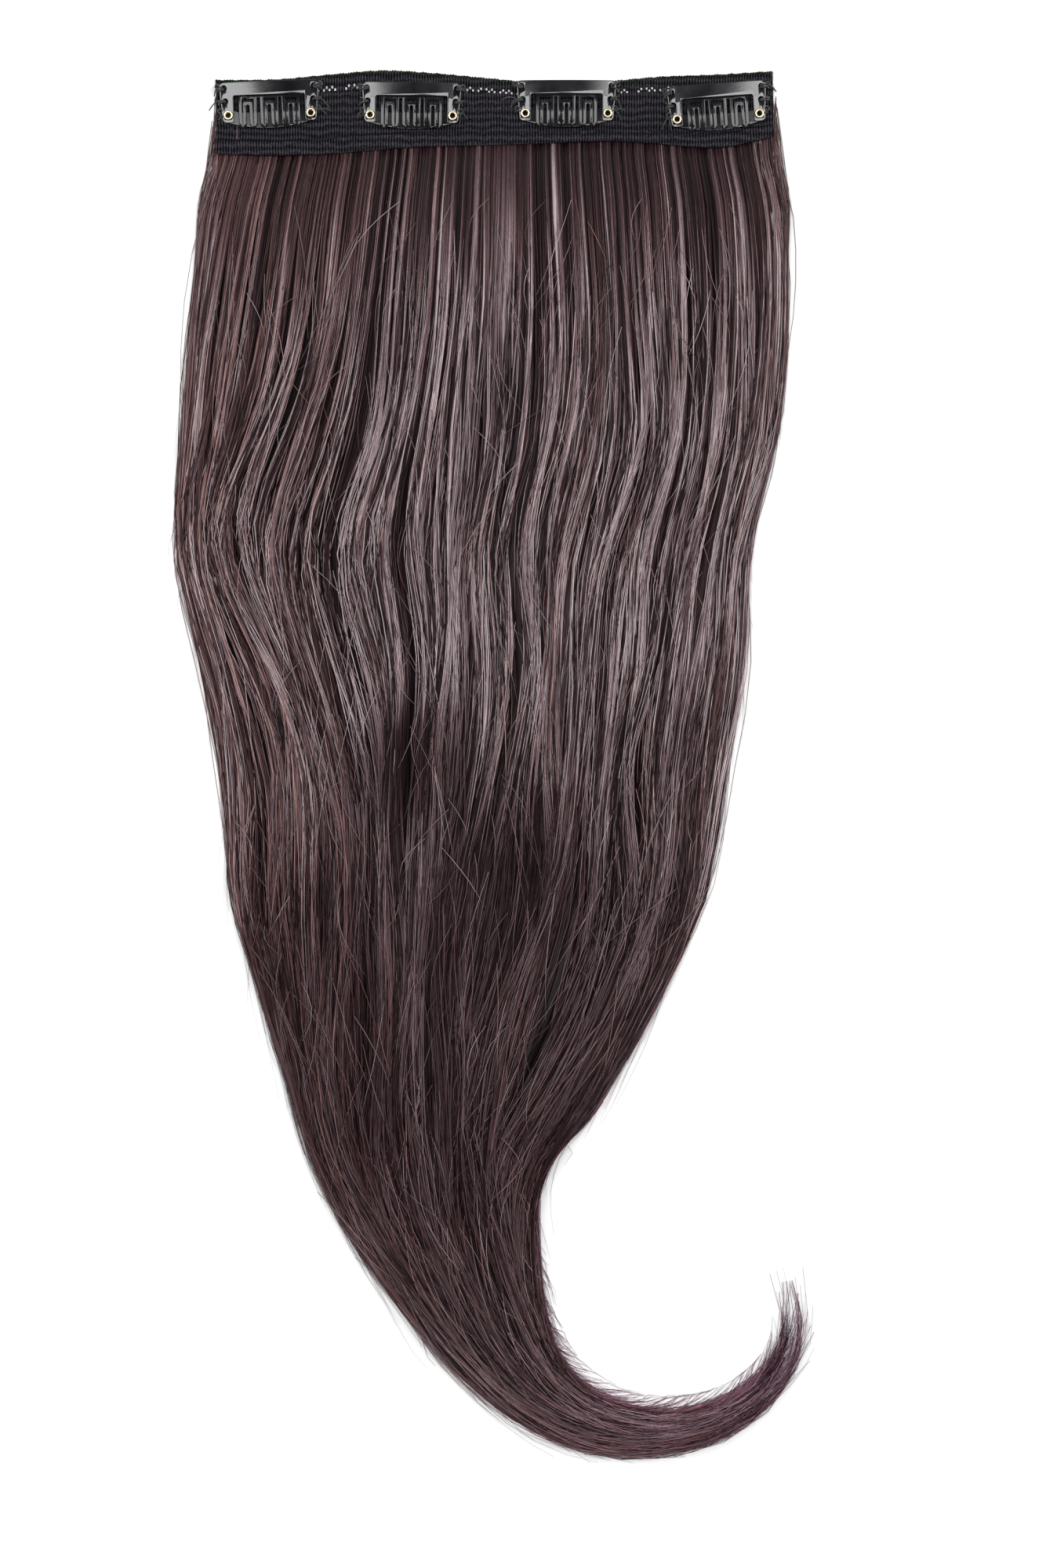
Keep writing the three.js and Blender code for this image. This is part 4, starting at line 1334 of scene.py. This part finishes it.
def sewing_threads(placement):
    """Paths of the loops, knots and tails that sew a clip's two legs to the cloth."""
    plate_top = PLATE_BASE + STEEL_THICKNESS
    cloth = 0.1
    paths = []
    for side in (-1, 1):
        crown = CROWN_LIFT - PLATE_CROWN * EYELET_X**2
        for y in (*SEWING_HOLE_RISES, 0.4):
            hole_x = leg_edge(y) - SEWING_HOLE_EDGE - SEWING_HOLE_RADIUS
            edge_x = leg_edge(y) + 0.25
            if y < 1:
                hole_x = leg_edge(y) - 0.9
            for _ in range(3 if y > 1 else 1):
                dy, ey = rng.uniform(-0.6, 0.6), rng.uniform(-1.3, 1.3)
                out = edge_x + rng.uniform(0.2, 1.1)
                high = plate_top + crown + rng.uniform(0.25, 0.5)
                inner = hole_x + rng.uniform(-0.3, 0.4)
                loop = [
                    (side * (inner - 0.1), y + dy * 0.6, cloth),
                    (side * inner, y + dy * 0.6, plate_top - 0.3),
                    (side * (inner + 0.4), y + dy, high),
                    (side * edge_x, y + dy + ey * 0.4, high - 0.1),
                    (side * (edge_x + 0.35), y + dy + ey * 0.6, plate_top - 0.4),
                    (side * out, y + dy + ey, cloth + 0.2),
                    (side * (out - 0.5), y + dy + ey, cloth - 0.2),
                ]
                paths.append(loop)
        for y in (SEWING_HOLE_RISES[1] + 0.6, 1.6):
            knot_x = leg_edge(y) + 0.5
            turns = np.linspace(0, 5 * np.pi, 16)
            paths.append([
                (side * (knot_x + 0.75 * math.cos(a) * rng.uniform(0.6, 1.1)),
                 y + 0.8 * math.sin(a) * rng.uniform(0.6, 1.1),
                 1.0 + 0.8 * math.sin(1.7 * a + side))
                for a in turns
            ])
        for _ in range(3):
            y = rng.choice([1.0, 5.0, 9.4])
            start_x = leg_edge(y) + 0.6
            lean = rng.uniform(-1.9, 0.2)
            length = rng.uniform(2.0, 5.0)
            tail = [(side * (start_x + length * t * math.cos(lean)), y + length * t * math.sin(lean)
                     + 0.5 * math.sin(3 * t), 0.35 + 0.9 * math.sin(math.pi * (1 - t) * 0.8))
                    for t in (0, 0.3, 0.6, 1)]
            paths.append(tail)
    return [np.array([placement @ Vector(point) for point in smooth_curve(path, THREAD_STEPS)]) / MM
            for path in paths]


def build_clip(number):
    """One snap clip: crowned plate, comb, bow, two eyelets and the threads that sew it on."""
    name = f"clip_{number}"
    corners = [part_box(f"{name}_eyelet_{side}") for side in ("left", "right")]
    left, right = [(low + high) / 2 for low, high in corners]
    base = corners[0][0].z
    middle = (left + right) / 2
    tilt = math.atan2(right.y - left.y, right.x - left.x)
    placement = Matrix.Translation((middle.x, middle.y, base)) @ Matrix.Rotation(tilt, 4, "Z")
    placement = placement @ Matrix.Scale(MM, 4)
    across = Vector((1, 0, 0))
    down = Vector((0, 1, 0))

    plate = plate_mesh("plate", frame_loops(), STEEL_THICKNESS, PLATE_BEVEL)
    cut_rows(plate, across, np.arange(-15, 15.1, 1.5))
    bend(plate, PLATE_BASE + CROWN_LIFT, PLATE_CROWN)
    place_clip_part(f"{name}_plate", f"{name}_frame", plate, placement, paint_finish)

    comb = plate_mesh("comb", comb_loops(), STEEL_THICKNESS, COMB_BEVEL)
    cut_rows(comb, across, np.arange(-9, 9.1, 1.5))
    cut_rows(comb, down, np.arange(-3.5, 2.1, 0.8))
    bend(comb, PLATE_BASE + CROWN_LIFT, PLATE_CROWN, 0.016)
    place_clip_part(f"{name}_teeth", f"{name}_comb", comb, placement, comb_finish,
                    f"comb_{number}")

    bow = plate_mesh("bow", bow_loops(), STEEL_THICKNESS, PLATE_BEVEL)
    cut_rows(bow, across, np.arange(-14, 14.1, 2))
    bend(bow, BOW_BASE, PLATE_CROWN * 0.3)
    place_clip_part(f"{name}_bow_strip", f"{name}_bow", bow, placement, bow_finish)

    for side, sign in (("left", -1), ("right", 1)):
        eyelet = eyelet_body()
        bmesh.ops.translate(eyelet, verts=eyelet.verts, vec=(sign * EYELET_X, 0, 0))
        place_clip_part(f"{name}_ring_{side}", f"{name}_eyelet_{side}", eyelet, placement,
                        brass_finish)

    threads = tubes_piece(f"{name}_threads", sewing_threads(placement), THREAD_RADIUS, THREAD_SIDES)
    finish_piece(threads, thread_finish)


# Floor, lights and camera

FLOOR_REACH = 3.0

# The two softboxes: how far back and how high they stand, where they point, size and power
SOFTBOX_Y = 0.25
SOFTBOX_HEIGHT = 1.3
SOFTBOX_AIM = (0, 0.05, 0)
SOFTBOX_SIZE = (0.5, 0.9)
SOFTBOX_POWER = 12

# Brightness of the room from the horizon up to the zenith
ROOM = ((0.0, 1.0), (0.55, 0.5), (0.95, 0.07))
ROOM_STRENGTH = 0.8

LENS = 100
SENSOR = 36

def floor():
    """A plain pale floor under the object."""
    made, shader = material("pale_floor", Roughness=0.7)
    place = node(made, "ShaderNodeTexCoord")
    grain = pattern(made, place, "ShaderNodeTexNoise", Scale=40.0, Detail=3.0)
    tone_by(made, shader, grain, "Fac", [(0.3, (0.86,) * 3), (0.7, (0.9,) * 3)])
    mesh = bpy.data.meshes.new("floor")
    signs = ((-1, -1), (1, -1), (1, 1), (-1, 1))
    mesh.from_pydata([(FLOOR_REACH * x, FLOOR_REACH * y, 0) for x, y in signs], [], [(0, 1, 2, 3)])
    mesh.materials.append(made)
    ground = bpy.data.objects.new("floor", mesh)
    bpy.context.scene.collection.objects.link(ground)


def softbox(name, place, aim, size, power):
    """A rectangular area light that points at a place."""
    lamp = bpy.data.lights.new(name, "AREA")
    lamp.shape = "RECTANGLE"
    lamp.size, lamp.size_y = size
    lamp.energy = power
    holder = bpy.data.objects.new(name, lamp)
    bpy.context.scene.collection.objects.link(holder)
    holder.location = place
    holder.rotation_euler = (Vector(aim) - Vector(place)).to_track_quat("-Z", "Y").to_euler()
    holder.visible_camera = False


def lights():
    """Soft studio light: two softboxes that flank the camera, and a room that is pale below."""
    world = bpy.data.worlds.new("studio")
    world.use_nodes = True
    background = world.node_tree.nodes["Background"]
    place = node(world, "ShaderNodeTexCoord")
    split = node(world, "ShaderNodeSeparateXYZ")
    link(world, place, "Generated", split, "Vector")
    tone = ramp(world, split, "Z", [(height, (grey,) * 3) for height, grey in ROOM])
    link(world, tone, "Color", background, "Color")
    background.inputs["Strength"].default_value = ROOM_STRENGTH
    bpy.context.scene.world = world
    for name, x in (("softbox_left", -0.46), ("softbox_right", 0.48)):
        softbox(name, (x, SOFTBOX_Y, SOFTBOX_HEIGHT), SOFTBOX_AIM, SOFTBOX_SIZE, SOFTBOX_POWER)
    bpy.context.scene.view_settings.view_transform = "Standard"


def camera():
    """Straight above, as the photograph was taken, with its centre pixel in the middle."""
    shift = [(VIEW_CENTRE_PIXEL[i] - BAND_MIDDLE_PIXEL[i]) * MM_PER_PIXEL for i in (0, 1)]
    centre = Vector((MIDDLE_X + shift[0], EDGE_Y - shift[1], 0)) * MM
    data = bpy.data.cameras.new("camera")
    data.lens = LENS
    data.sensor_width = SENSOR
    data.dof.use_dof = False
    distance = PHOTO_SIZE[1] * MM_PER_PIXEL * MM * data.lens / data.sensor_width
    holder = bpy.data.objects.new("camera", data)
    holder.location = centre + Vector((0, 0, distance + SCALE_PLANE * MM))
    data.clip_end = 20
    bpy.context.scene.collection.objects.link(holder)
    bpy.context.scene.camera = holder


build_hair()
build_band()
for clip_number in range(1, 5):
    build_clip(clip_number)
floor()
lights()
camera()
